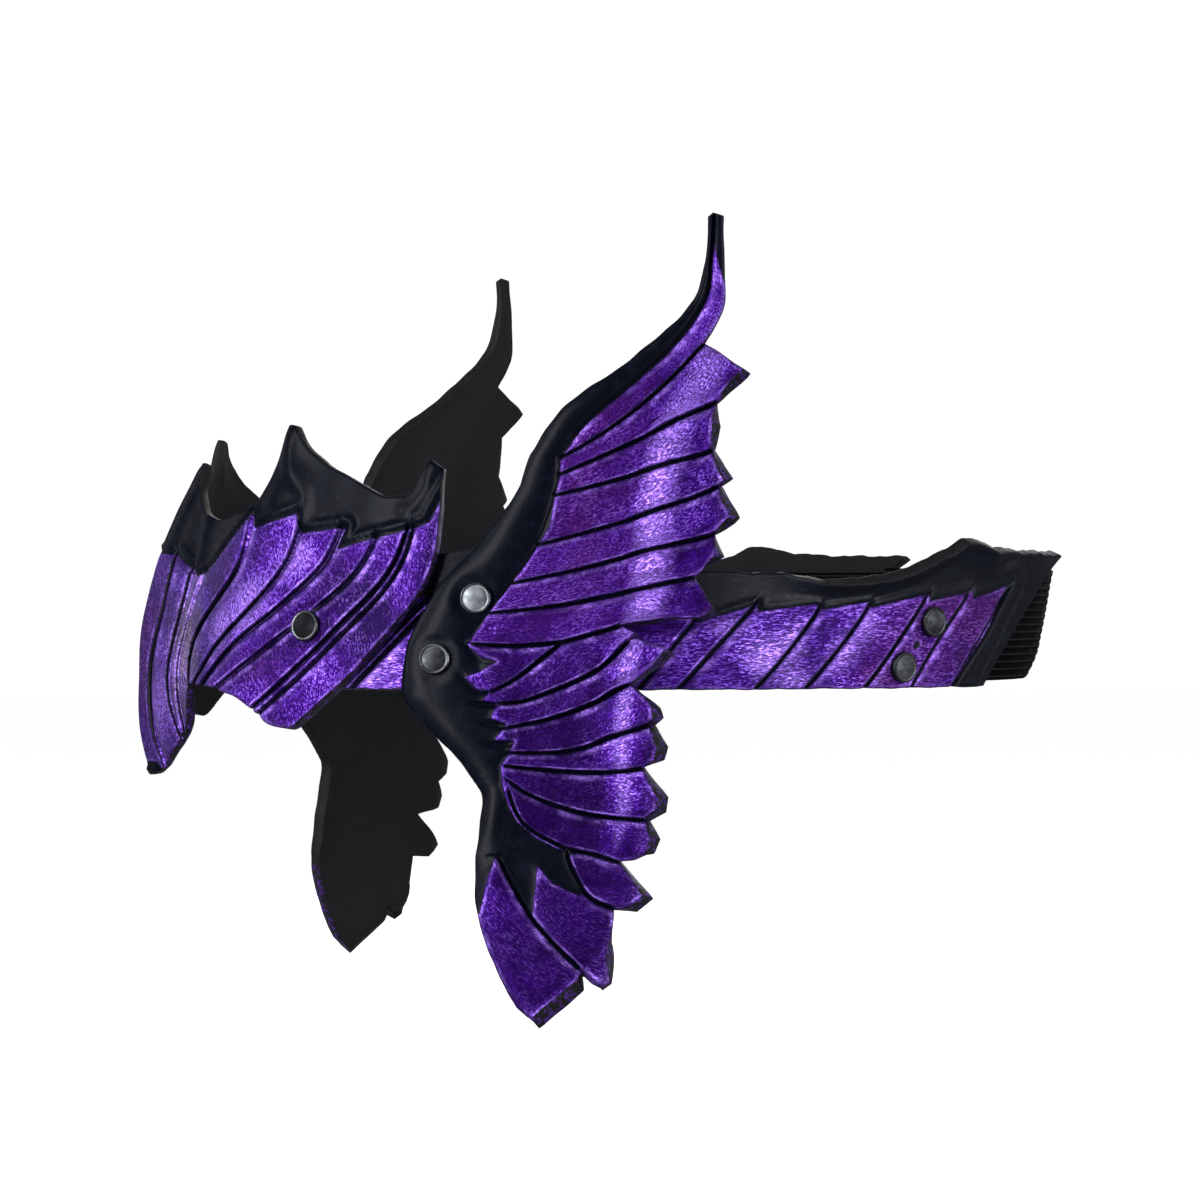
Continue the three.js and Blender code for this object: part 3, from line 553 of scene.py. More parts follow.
def wingDark(flat):
    tip, reach, roll, rise = tipRow(flat, "back", "dark", "roll", "rise")
    p, q = flat[..., 0], flat[..., 1]
    lower = 1 - smoothStep(q, *wingShade["lowerTo"])
    leaves = wingShade["leaves"] + (1 - wingShade["leaves"]) * smoothStep(q, *wingShade["leavesTo"])
    low = wingShade["upper"] + wingShade["lower"] * lower * leaves
    ends = wingShade["ends"] * (1 - smoothStep(tip - p, wingShade["endStart"] * reach, reach))
    wide = wingShade["rollWide"] - wingShade["narrower"] * lower
    rolled = rise / wingShade["fullRoll"] * bell(p - roll, wide)
    gleam = wingShade["gleam"] - wingShade["duller"] * lower
    return np.maximum(low, ends) * (1 - rolled) - gleam * rolled


# Painted parts stand a little above the black among the lower roots and the leaves
def paintStep(flat, paint):
    return wing["paintStep"] * smoothStep(paint, -wing["stepHalf"], wing["stepHalf"]) * (1 - upperShare(flat))


def wingThin(flat):
    x, y = topTip["lead"][-1]
    return 1 - wing["tipPared"] * bell(np.hypot(flat[..., 0] - x, flat[..., 1] - y), wing["tipReach"])


def wingPlace(flat, lift):
    bend = flat[..., 0] / wing["bendRadius"]
    above = flat[..., 1] - wing["seatHeight"]
    splay = np.where(above > 0, wing["topSplay"], wing["lowSplay"])
    out = opening["backLean"] * wingNormal[0] * above + splay * (above / wing["splayReach"]) ** 2
    turned = np.cos(bend)[..., None] * wingNormal + np.sin(bend)[..., None] * wingBack
    point = wingSeat + wing["bendRadius"] * np.sin(bend)[..., None] * wingBack
    point = point - wing["bendRadius"] * (1 - np.cos(bend))[..., None] * wingNormal
    point = point + turned * (outerLayer["thick"] / 2 + out + lift)[..., None]
    point[..., 2] = flat[..., 1]
    return point


# Each feather's spot runs along it, so that brush strokes follow the feather
spotShift = {"along": 3.1, "across": 17.0, "deep": 5.3}


def featherSpot(patch, number):
    along = np.cumsum(np.linalg.norm(np.diff(patch, axis=1, prepend=patch[:, :1]), axis=2), axis=1)
    across = np.cumsum(np.linalg.norm(np.diff(patch, axis=0, prepend=patch[:1]), axis=2), axis=0)
    deep = np.full(along.shape, spotShift["deep"] * number)
    return np.stack([along + spotShift["along"] * number, across + spotShift["across"] * number, deep], -1)


def stripSpot(patch, number):
    return np.stack([patch[..., 1], patch[..., 0], np.full(patch.shape[:2], spotShift["deep"] * number)], -1)


def cutDistance(patch, cut):
    return np.full(patch.shape[:2], farMark) if cut is None else distanceTo(patch, cut)


def sepalGaps(patch):
    return [distanceTo(patch, cut) for cut in sepalLines]


def sepalRelief(patch):
    return -sum(sepal["depth"] * bell(gap, sepal["half"]) for gap in sepalGaps(patch))


# Cuts start shallow and narrow at the root and grow towards the tip
featherCut = {"root": 0.45, "run": 0.55, "runBy": (0, 0.2), "tip": 0.35, "tipFrom": (0.6, 1), "narrow": 0.75,
              "widen": 0.35, "wideBy": (0, 0.7), "crownBy": (0, 0.15), "deepest": -1.5}
# Rosier paint high on the feathers towards the roots, and a rosy cast where the tips carry painted shade
featherTint = {"rosy": 0.7, "rosyUp": (-5, 35), "rosyBack": (22, 48), "dark": 0.6, "darkFrom": 0.5}


def addFeather(sheet, edges, cuts, shares, number, rootCut):
    patch = stretched(*edges, shares)
    if number in evenedFeathers:
        patch = relaxed(patch, shares)
    t = np.linspace(0, 1, patch.shape[1])[None]
    depth = featherCut["root"] + featherCut["run"] * smoothStep(t, *featherCut["runBy"])
    depth = carve["depth"] * (depth + featherCut["tip"] * smoothStep(t, *featherCut["tipFrom"]))
    wide = featherCut["narrow"] + featherCut["widen"] * smoothStep(t, *featherCut["wideBy"])
    above, below = (cutDistance(patch, cut) for cut in cuts)
    paint = insideDistance(patch, wingPaint)
    rise = belowCut(above, depth, carve["bevel"]) + aboveCut(below, depth)
    rise = rise + wing["crown"] * arch(shares[:, None]) * smoothStep(t, *featherCut["crownBy"])
    if rootCut is not None:
        rise = rise + upperShare(patch) * aboveCut(distanceTo(patch, rootCut), wing["rootDepth"])
    rise = np.maximum(rise, featherCut["deepest"]) + sepalRelief(patch) + paintStep(patch, paint)
    # painted shade at the tips and a painted highlight on the rolls, and the rosy cast of that shade in the
    # tint
    dark = wingDark(patch)
    rosy = smoothStep(patch[..., 1], *featherTint["rosyUp"])
    tint = featherTint["rosy"] * rosy * (1 - smoothStep(patch[..., 0], *featherTint["rosyBack"]))
    tint = tint + featherTint["dark"] * np.maximum(dark - featherTint["darkFrom"], 0)
    marks = dict(zip(givenMarks, (above / wide, below / wide, paint, tint, dark)))
    addPatch(sheet, patch, patch, rise, wingLift(patch), marks, featherSpot(patch, number), wingThin(patch))


def addBlack(sheet, patch, rootCut, across):
    gap = cutDistance(patch, rootCut)
    upperPart = upperShare(patch)
    paint = insideDistance(patch, wingPaint)
    rise = upperPart * belowCut(gap, wing["rootDepth"], carve["bevel"]) + sepalRelief(patch)
    rise = rise + paintStep(patch, paint)
    rise = rise + wing["stripCrown"] * arch(across) * smoothStep(patch[..., 1], *wing["stripFade"])
    points = np.min(sepalGaps(patch), 0) + sepal["away"]
    marks = {"cutBelow": np.where(upperPart > 0.5, gap, farMark), "cutAbove": points, "paint": paint}
    spot = stripSpot(patch, spotNumbers["strip"])
    addPatch(sheet, patch, patch, rise, wingLift(patch), marks, spot, wingThin(patch))


def wingLine(i):
    line = wingLines[i]
    along, wedge = wingSteps["along"], wingSteps["wedge"]
    whole = [line[key] for key in ("root", "near", "far", "end")]
    if i == wedgeFeather + 1:
        return spaced(whole, wedge)
    partings = {wedgeFeather: wedge, len(wingLines) - 1: along - wingSteps["leaf"]}
    if i not in partings:
        return spaced(whole, along)
    first = spaced(whole[:3], partings[i])
    return np.vstack([first, spaced(whole[2:], along - partings[i])[1:]])


def edgeSteps(points):
    spans = len(points) - 1
    return [curvePoints(points, (i + rowShares) / spans) for i in range(spans)]


def straight(start, end, shares):
    return start + shares[:, None] * (np.asarray(end, float) - start)


def makeWing():
    sheet = newSheet()
    lines = [wingLine(i) for i in range(len(wingLines))]
    roots, leads = edgeSteps(rootPoints), edgeSteps(leadPoints)
    tipStrip = spaced(topTip["strip"], 2 * wingSteps["along"])
    rootCut = np.vstack([tipStrip[::-1], *roots[:-1]])
    for i, corners in enumerate(featherEnds):
        upper, lower = lines[i], lines[i + 1]
        if i == wedgeFeather:
            upper = upper[:len(lower)]
        if i == wedgeFeather + 1:
            upper = np.vstack([upper, lines[wedgeFeather][len(upper):]])
        end = keptCorners([upper[-1], *corners, lower[-1]], rowShares)
        if not corners:
            end = np.repeat(upper[-1:], len(rowShares), 0)
        addFeather(sheet, (upper, lower, roots[i], end), (upper, lower), rowShares, i, rootCut)

    # black field and the three leaves
    parting = wingSteps["along"] - wingSteps["leaf"]
    upper, above = lines[-1][:parting + 1], lines[-1][parting:]
    forkPoint = np.array(fork["strip"], float)
    fieldEnd = straight(upper[-1], forkPoint, rowShares)
    field = stretched(upper, np.repeat(forkPoint[None], len(upper), 0), roots[-1], fieldEnd, rowShares)
    gap, paint = distanceTo(field, upper), insideDistance(field, wingPaint)
    rise = belowCut(gap, carve["depth"], carve["bevel"]) + paintStep(field, paint)
    spot = stripSpot(field, spotNumbers["field"])
    addPatch(sheet, field, field, rise, wingLift(field), {"cutBelow": gap, "paint": paint}, spot)
    evenShares = np.linspace(0, 1, wingSteps["strip"] + 1)
    leafRoots = [np.repeat(upper[-1:], len(rowShares), 0), fieldEnd,
                 straight(forkPoint, fork["lead"], evenShares)]
    for i, leaf in enumerate(leafLines):
        lowest = i == len(leafLines) - 1
        below = spaced(leaf["path"], wingSteps["leaf"])
        shares = evenShares if lowest else rowShares
        end = keptCorners([above[-1], *leaf["corners"], below[-1]], shares)
        cuts = (above, None if lowest else below)
        addFeather(sheet, (above, below, leafRoots[i], end), cuts, shares, spotNumbers["leaf"] + i, None)
        above = below

    # top tip and the black leading strip
    lower = np.vstack([lines[0], spaced(topTip["rear"], wingSteps["along"])[1:]])
    lead = spaced(topTip["lead"], len(lower) - 1)
    tipShares = np.linspace(0, 1, wingSteps["tip"] + 1)
    quillEdges = (tipStrip, lower, np.repeat(tipStrip[:1], len(tipShares), 0),
                  straight(tipStrip[-1], lower[-1], tipShares))
    addFeather(sheet, quillEdges, (tipStrip, lines[0]), tipShares, spotNumbers["quill"], None)
    crossing = straight(leads[0][0], roots[0][0], evenShares)
    tipEnd = straight(lead[-1], tipStrip[-1], evenShares)
    addBlack(sheet, stretched(lead, tipStrip, crossing, tipEnd, evenShares), rootCut, evenShares[:, None])
    for leadRow, rootRow in zip(leads, roots):
        patch = leadRow[:, None] + evenShares[None, :, None] * (rootRow - leadRow)[:, None]
        addBlack(sheet, patch, rootCut, evenShares[None])
    seats = np.array(list(wingRivets.values()))
    return sheetArrays(sheet, wingPlace, outerLayer["thick"], seats, wing["clear"])


# Front plate, left half from its rear edge to the keel, as lines from the hem to the crest
brow = {"closer": 3.8, "from": 60, "to": 80, "keelFrom": 75, "keelPower": 1.3, "profile": (55, 88),
        "formed": 0.25, "cutForm": (1.7, 0.45), "clear": (3.6, 5.0), "spotDeep": 2.0, "spotLean": 0.4,
        "profileSteps": 20}
keelProfile = [(-19, 5.5), (-16, 4.6), (-8.4, 2.1), (0, 0.1), (14, -1.5), (28, -0.4), (47, 3.6)]
plateLines = rowsOf(
    "hem low high crest cut wide",
    ((49.5, -6.3), (43, 5), (36.6, 22.5), (37.2, 44.3), 0),
    ((51.4, -8.2), (45, 4.5), (37.6, 23), (39, 46.1), 0),
    ((54.8, -7), (48, 4), (39.4, 23.5), (39.6, 43.8), 0),
    ((56.4, -5.4), (50.1, 3.9), (40.5, 23.5), (39.9, 42), 0.45, 1),
    ((57.5, -4.3), (51.8, 3.8), (41.5, 23.5), (40.2, 40.4), 1, 1.5),
    ((61.2, -1.8), (55, 5.4), (43.7, 23.3), (41.3, 39), 0),
    ((65.5, -0.5), (58, 7), (46, 23), (43.5, 38.8), 0.6, 1.2),
    ((67.6, 0), (60.8, 7.5), (48.5, 23.8), (46, 40), 0),
    ((69.5, 0.2), (63.5, 8), (51, 24.5), (48.8, 42.2), 0.75, 1.4),
    ((71, 0.3), (66, 7.5), (54, 24.5), (52, 44.4), 0),
    ((72.5, 0.4), (68, 7), (57, 24.5), (55.2, 47.3), 0.9, 1.5),
    ((73.2, 0.4), (70, 8), (59.2, 25), (58.2, 50.5), 0),
    ((73.8, 0.4), (71.4, 8.5), (61, 26), (60.1, 53.7), 0),
    ((74.3, 0.3), (72.6, 9), (62.6, 26.5), (61.3, 53.9), 0),
    ((74.7, 0.2), (73.4, 9.2), (64, 25.5), (62, 46.6), 0),
    ((75, 0), (74, 9.5), (65.5, 24.5), (65.3, 38), 0.9, 1.7),
    ((75.6, -7.5), (76, 6), (70.5, 23.5), (71, 35.4), 0),
    ((76.6, -9.5), (78.3, 4), (76, 20), (76.2, 34.6), 0.25, 0.9),
    ((78, -11.2), (81, 1), (79.7, 18), (80.5, 35.6), 0.7, 1.8),
    ((81.4, -14.5), (84, 0), (82.5, 18), (84.2, 38.6), 0),
    ((84.6, -17.2), (86.8, 0), (85, 18), (87, 42), 0.9, 2.2),
    ((88.4, -19), (88.8, 0), (88.4, 18), (88.9, 47), 0),
    ((90, -19.2), (90, 0), (90, 18), (90, 47.2), 0),
)
plateSteps = 66
lineShares = np.array([
    0, 0.05, 0.13, 0.24, 0.37, 0.5, 0.63, 0.76, 0.87, 0.95,
])
browRivet = (51.4, 12.5)
plateTips = [(39, 46.1), (60.7, 54), (90, 47.2), (90, -19.2)]
# Patches where the paint is rosier (greyer below nothing) and the colour darker; below nothing the colour
# is brighter, a painted highlight
tintNames = "turn height wide tall tint dark"
plateTints = rowsOf(
    tintNames,
    (76.6, 8, 6, 15, -1.5, 0),
    (88, 8, 5, 22, 0.9, 0.1),
    (69.5, 22, 4, 8, 0.8, 0.35),
    (62, 27, 3, 4, 0.2, 0.4),
    (48.5, 20, 4.5, 6, 0.8, 0.5),
    (54, 7, 5, 4, 0.4, 0.4),
    (59.5, 3, 6, 3.5, 0.7, 0.5),
    (42.5, 14, 6, 9, 0.2, 0.6),
    (52, 12, 9, 9, 0.2, 0.42),
    (43, 16, 13, 24, 0, 0.5),
    (37, 29, 1.6, 12, 0, 0.6),
    (53.5, -6, 5, 2.6, 0.3, 0.7),
    (61.5, 17, 4.5, 6, 0, -0.65),
    (66.5, 12, 3, 4.5, 0, -0.7),
    (54.5, 26, 4, 4, 0, -0.55),
    (42.3, 26, 2.2, 4, 0, -0.5),
    (48.5, 4.5, 5, 3.5, 0, -0.6),
    (83.3, -5, 2.6, 9, 0, -0.65),
    (39.5, 20, 2.2, 6, 0, -0.5),
)
# Soft folds in the black leather, running down from the horns
hornFolds = [
    [(80.2, 35), (78.9, 30.4), (78, 26.1)], [(88, 45), (88, 36), (88.3, 30)],
    [(60.6, 52), (60, 46), (55.8, 39.7), (54.9, 34)], [(38.6, 44.3), (39, 40), (40.5, 36)],
]
platePaint = [
    (30, 43), (36.1, 41), (37.6, 33.6), (39.2, 32.4), (44, 30.4), (49.3, 28), (48.5, 32.5), (55.6, 31.3),
    (56.3, 35.6), (63.5, 32.5), (65.5, 35.8), (68.4, 30.6), (72.7, 25.1), (77.3, 22.4), (80.1, 24.3),
    (84.8, 27.2), (90, 27.5), (96, 27.5), (96, -16.8), (87.6, -16.4), (84.9, -18.5), (70, -60), (30, -60),
]
# Black leather along the paint: a ridge and a groove, how far they lie outside it, and the folds
plateCrest = {"ridge": 0.55, "ridgeOut": 1.5, "ridgeHalf": 0.7, "groove": 0.5, "grooveOut": 0.2,
              "grooveHalf": 0.45, "fold": 0.5, "foldHalf": 1.8, "foldFade": (0.5, 3), "foldSteps": 16,
              "cutFade": (-2.5, 0.3)}
pared = {"tips": 0.45, "tipReach": 6, "crest": 0.35, "beak": 0.45, "reach": 3.5, "beakFrom": (71, 76)}
markFade = 6
tintStrength = 1.35
deepestCut = -1.2


def platePlace(flat, lift):
    turn, height = flat[..., 0], flat[..., 1]
    forward = 90 - np.abs(turn - 90)
    keel = np.clip((forward - brow["keelFrom"]) / (90 - brow["keelFrom"]), 0, 1) ** brow["keelPower"]
    closer = brow["closer"] * (smoothStep(forward, brow["from"], brow["to"]) - keel)
    point = around(turn, height, outerLayer["inside"] + outerLayer["thick"] / 2 - closer + lift)
    steps = np.linspace(0, 1, brow["profileSteps"], endpoint=False)
    heights, backs = betweenColumns(keelProfile, steps).T
    slope = (backs[-1] - backs[-2]) / (heights[-1] - heights[-2])
    back = np.interp(height, heights, backs) + slope * np.maximum(0, height - heights[-1])
    point[..., 0] += back * smoothStep(forward, *brow["profile"])
    return point


def carvedStrips(step, lines, metric, bevel, crown):
    below = np.full(metric.shape[:2], farMark)
    above = below
    rise = np.zeros(metric.shape[:2])
    for i, line in enumerate(lines):
        column = i * step if step > 0 else len(metric) - 1 + i * step
        if not line["cut"]:
            continue
        gap = distanceTo(metric, metric[column])
        front = np.arange(len(metric))[:, None] > column
        depth = carve["depth"] * line["cut"]
        rise += np.where(front, aboveCut(gap, depth), belowCut(gap, depth, bevel))
        below = np.where(front, below, np.minimum(below, gap / line["wide"]))
        above = np.where(front, np.minimum(above, gap / line["wide"]), above)
    rounded = crown * arch(np.clip(above / (above + below), 0, 1))
    return np.maximum(rise, deepestCut) + rounded, below, above


def patches(rows, metric):
    tint, dark = np.zeros(metric.shape[:2]), np.zeros(metric.shape[:2])
    for row in rows:
        away = metric - onLeather((row["turn"], row["height"]))
        share = np.exp(-(away[..., 0] / row["wide"]) ** 2 - (away[..., 1] / row["tall"]) ** 2)
        tint, dark = tint + row["tint"] * share, dark + tintStrength * row["dark"] * share
    return tint, dark


def borderRelief(form, paint):
    ridge = form["ridge"] * bell(paint + form["ridgeOut"], form["ridgeHalf"])
    return ridge - form["groove"] * bell(paint + form["grooveOut"], form["grooveHalf"])


def crestRelief(metric, paint):
    form = plateCrest
    relief = borderRelief(form, paint)
    for fold in hornFolds:
        away = distanceTo(metric, onLeather(spaced(fold, form["foldSteps"])))
        relief += form["fold"] * bell(away, form["foldHalf"]) * smoothStep(-paint, *form["foldFade"])
    return relief


def plateThin(flat, metric):
    tips = [np.linalg.norm(metric - onLeather(tip), axis=-1) for tip in plateTips]
    thin = 1 - pared["tips"] * bell(np.min(tips, 0), pared["tipReach"])
    thin = np.minimum(thin, 1 - pared["crest"] * bell(distanceTo(metric, metric[:, -1]), pared["reach"]))
    hem = bell(distanceTo(metric, metric[:, 0]), pared["reach"])
    return np.minimum(thin, 1 - pared["beak"] * (hem * smoothStep(flat[..., 0], *pared["beakFrom"])))


def makePlate():
    half = [spaced([line[k] for k in ("hem", "low", "high", "crest")], plateSteps) for line in plateLines]
    half = betweenColumns(half, lineShares)
    metric = onLeather(half)
    rise, below, above = carvedStrips(len(lineShares), plateLines, metric, *brow["cutForm"])
    paint = insideDistance(metric, [onLeather(platePaint)])
    fade = smoothStep(paint, *plateCrest["cutFade"])
    faded = markFade * (1 - fade)
    rise = rise * fade + crestRelief(metric, paint)
    spot = np.stack([metric[..., 1], metric[..., 0], np.full(paint.shape, brow["spotDeep"])], -1)
    spot[..., 1] -= brow["spotLean"] * metric[..., 1]

    # rows run down from the crest, and the right half mirrors the left
    def whole(values, mirrored=None):
        other = values[:-1] if mirrored is None else mirrored
        return np.concatenate([values, other[::-1]])[::-1, ::-1].swapaxes(0, 1)

    flat = whole(half, half[:-1] * (-1, 1) + (180, 0))
    given = (below + faded, above + faded, paint, *patches(plateTints, metric))
    marks = {name: whole(values) for name, values in zip(givenMarks, given)}
    lift, thin = brow["formed"] * handFormed(metric), plateThin(half, metric)
    sheet = newSheet()
    addPatch(sheet, flat, onLeather(flat), whole(rise), whole(lift), marks, whole(spot), whole(thin))
    seats = onLeather([browRivet, (180 - browRivet[0], browRivet[1])])
    return sheetArrays(sheet, platePlace, outerLayer["thick"], seats, brow["clear"])


# Side bands, from the front end to the rear point: where each line meets the hem and the crest
bandLines = rowsOf(
    "hem crest height bow cut wide",
    (57, 53, 22, 0, 0),
    (46.2, 31.5, 28.4, 0, 0.6, 1.35),
    (44.7, 30, 28.4, 0, 0.8, 1.35),
    (30, 20, 28, 0, 0),
    (18, 10, 25, 0, 0),
    (9.8, 1, 23.6, 0, 0.8, 1.35),
    (5, -5, 23.3, 0, 0.8, 1.35),
    (-4.3, -12, 21.6, -0.6, 0.9, 1.35),
    (-10.7, -19, 22.6, -0.6, 0.9, 1.35),
    (-18.8, -28.4, 28.4, -0.6, 0.75, 1.35),
    (-22.4, -31, 30.4, 0, 0),
    (-26, -37.5, 28.7, 0.8, 0.75, 1.35),
    (-33.2, -44.6, 28.2, 0.4, 0.75, 1.35),
    (-39.9, -55.5, 28, 1.6, 0),
)
bandSteps = 34
bandShares = np.array([
    0, 0.03, 0.07, 0.12, 0.18, 0.25, 0.33, 0.42, 0.5, 0.58, 0.67, 0.75, 0.82, 0.88, 0.93, 0.97,
])
strapRivets = {"upper": (-27.6, 13.6), "lower": (-24.1, 4.2)}
bandPaint = [
    (75, 15), (37.5, 19), (36.4, 18.4), (36.8, 16.5), (30, 16), (12, 15), (4.5, 14.4), (4.2, 13.4),
    (-2.7, 17.2), (-3, 15.7), (-10.2, 17.2), (-10.6, 15.9), (-17.2, 17.8), (-17.6, 16.4), (-26.1, 19.5),
    (-26.5, 17.9), (-34, 20.1), (-34.3, 18.3), (-41.4, 21.5), (-38.2, 11.5), (-33.2, -0.5), (-33, -30),
    (75, -30),
]
# Patches where the colour is darker, and below nothing brighter, a painted highlight; a few are rosier
bandTints = rowsOf(
    tintNames,
    (-4.9, 6.5, 4, 3.5, 0, -0.95),
    (-8.2, 9.5, 2.5, 3.5, 0, -0.6),
    (0.4, 12, 3.5, 2, 0, -0.5),
    (-9.1, 1.5, 3, 2, 0, -0.6),
    (-14.8, 7.5, 3, 3, 0, -0.6),
    (-17.4, 12.5, 2.4, 2.6, 0, -0.5),
    (44, 4, 7, 4, 0, -0.5),
    (2.3, 7.5, 2.6, 3, 0.2, 0.5),
    (-1.2, 3, 3, 2.2, 0, 0.4),
    (-11.6, 12, 2.2, 3, 0, 0.4),
    (-24.5, 14.5, 2.6, 2.6, 0, 0.45),
    (-33.8, 6.5, 1.3, 1.8, 0.2, 0.6),
    (-20, 2.5, 3.5, 3, 0.5, 0.2),
)
bandForm = {"formed": 0.16, "formedFrom": (0, 10), "flare": 1.9, "flareFrom": 0.8, "flareStart": (2, 14),
            "flareLess": 0.6, "flareEnd": (30, 44), "roll": 0.7, "rollFrom": (33, 40), "rollWide": 6,
            "cutForm": (1.5, 0.25), "cutFade": (-2.2, 0.2), "torn": 0.08, "tornPower": 6, "clear": (3.5, 4.6),
            "tornWaves": ((1, 0.9, 0, 0), (1, 2.1, 0, 1), (0.4, 4.3, 0, 0))}
bandCrest = {"ridge": 0.3, "ridgeOut": 0.8, "ridgeHalf": 0.7, "groove": 0.35, "grooveOut": -0.3,
             "grooveHalf": 0.5}
awlMark = {"spot": (-25.6, 8.7), "depth": 0.5, "half": 0.5, "bare": 0.8}
bandRosy = {"strength": 0.9, "from": (12, 26)}
bandSpot = {"along": 0.5, "deep": 3.0}


def bandPlace(flat, lift):
    return around(flat[..., 0], flat[..., 1], bandLayer["inside"] + bandLayer["thick"] / 2 + lift)


def bandLift(metric, up, crest):
    form = bandForm
    flare = form["flare"] * np.clip((up - form["flareFrom"]) / (1 - form["flareFrom"]), 0, 1) ** 2
    flare = flare * smoothStep(-crest, *form["flareStart"])
    flare = flare * (1 - form["flareLess"] * smoothStep(-crest, *form["flareEnd"]))
    return flare + form["formed"] * handFormed(metric) * smoothStep(-crest, *form["formedFrom"])


def makeBand():
    columns = [[line[k] for k in ("hem", "crest", "height", "bow")] for line in bandLines]
    hem, crest, height, bow = betweenColumns(columns, bandShares).T[..., None]
    up = np.linspace(0, 1, bandSteps + 1)[None]
    torn = bandForm["torn"] * waves(bandForm["tornWaves"], crest, 0) * up ** bandForm["tornPower"]
    flat = np.stack([hem + (crest - hem) * up + bow * arch(up), height * up + torn], -1)
    metric = onLeather(flat)
    strips = carvedStrips(-len(bandShares), bandLines, metric[::-1], *bandForm["cutForm"])
    rise, below, above = (values[::-1] for values in strips)  # carved from the rear end forwards
    paint = insideDistance(metric, [onLeather(bandPaint)])
    fade = smoothStep(paint, *bandForm["cutFade"])
    faded = markFade * (1 - fade)
    awl = np.linalg.norm(metric - onLeather(awlMark["spot"]), axis=-1)
    endStrip = smoothStep(-flat[..., 0], *bandForm["rollFrom"]) * np.clip(-paint / bandForm["rollWide"], 0, 1)
    rise = rise * fade + borderRelief(bandCrest, paint) + bandForm["roll"] * arch(np.clip(endStrip, 0, 1))
    rise = rise - awlMark["depth"] * bell(awl, awlMark["half"])
    paint = np.minimum(paint, awl - awlMark["bare"])
    spot = np.stack([metric[..., 0] * bandSpot["along"], metric[..., 1],
                     np.full(paint.shape, bandSpot["deep"])], -1)
    tint, dark = patches(bandTints, metric)
    tint = tint + bandRosy["strength"] * smoothStep(-flat[..., 0], *bandRosy["from"])

    def turned(values):
        return values[:, ::-1].swapaxes(0, 1)

    given = (below + faded, above + faded, paint, tint, dark)
    marks = {name: turned(values) for name, values in zip(givenMarks, given)}
    sheet = newSheet()
    lift = bandLift(metric, up, crest)
    addPatch(sheet, turned(flat), turned(metric), turned(rise), turned(lift), marks, turned(spot))
    seats = onLeather(list(strapRivets.values()))
    return sheetArrays(sheet, bandPlace, bandLayer["thick"], seats, bandForm["clear"])


# Elastic round the back, ribbed along its length
strap = {"low": 0.8, "high": 24.6, "end": -20.5, "columns": 260, "ribs": 15, "ribSteps": 6, "ribRise": 0.18,
         "ribPower": 0.7, "pucker": ((0.07, 0.9, 0.5, 0),), "measuredAt": 12.0, "innerSpot": 4}
strapBack = {"from": -34, "closer": 2.3, "tuck": 2.6, "tuckHeight": 8}


def strapPlace(turn, height, out):
    behind = smoothStep(-np.abs(turn + 90), -90 - strapBack["from"], 0)
    tuck = strapBack["tuck"] * np.clip(1 - (height - strap["low"]) / strapBack["tuckHeight"], 0, None) ** 2
    middle = strapLayer["inside"] + strapLayer["thick"] / 2
    return around(turn, height, middle - (strapBack["closer"] + tuck) * behind + out)


def makeStrap():
    rows = strap["ribs"] * strap["ribSteps"] + 1
    up = np.linspace(0, 1, rows)
    ribs = np.abs(np.sin(np.pi * up * strap["ribs"])) ** strap["ribPower"] - 1
    half = (strapLayer["thick"] / 2 + strap["ribRise"] * ribs)[:, None]
    turns = np.linspace(strap["end"], -180 - strap["end"], strap["columns"])
    turn, height = np.meshgrid(turns, strap["low"] + (strap["high"] - strap["low"]) * up)
    pucker = waves(strap["pucker"], turn, height)
    shells = [strapPlace(turn, height, out).reshape(-1, 3) for out in (half + pucker, pucker - half)]
    ids = np.arange(turn.size).reshape(turn.shape)
    quads = np.stack([ids[:-1, :-1], ids[:-1, 1:], ids[1:, 1:], ids[1:, :-1]], -1).reshape(-1, 4)
    edge = np.concatenate([ids[0], ids[1:, -1], ids[-1, -2::-1], ids[-2:0:-1, 0]])
    onward = np.roll(edge, -1)
    wall = np.stack([onward, edge, edge + turn.size, onward + turn.size], -1)
    faces = np.concatenate([quads, quads[:, ::-1] + turn.size, wall])
    piece = newPiece("elastic_strap_ribbed", (np.concatenate(shells) * metre).tolist(), faces.tolist())
    run = onLeather(np.stack([turn, height], -1))
    spot = np.concatenate([run, np.zeros((*turn.shape, 1))], -1).reshape(-1, 3)
    rib = np.broadcast_to(ribs[:, None] + 1, turn.shape).ravel()
    putMark(piece.data, "rib", "POINT", np.concatenate([rib, rib]))
    putMark(piece.data, "spot", "POINT", np.concatenate([spot, spot + (0, 0, strap["innerSpot"])]))
    piece.data.update()
    middle = strapPlace(turns, np.full(len(turns), strap["measuredAt"]), 0)
    return piece, np.linalg.norm(np.diff(middle, axis=0), axis=1).sum() * metre


# Rivets: a domed cap with a rolled rim outside, a post, and a washer inside
rivet = {"sides": 48, "cap": 3.2, "rim": 0.42, "dome": 0.22, "capHeight": 1.3, "post": 1.4, "washer": 2.8,
         "washerHeight": 0.8, "gap": 0.05, "slack": 0.3, "chamfer": 0.3, "soft": 0.15, "sunk": 0.1}
domeShares = (0.9, 0.75, 0.55, 0.35, 0.15, 0)
rimAngles = np.radians(np.arange(0, 91, 15))


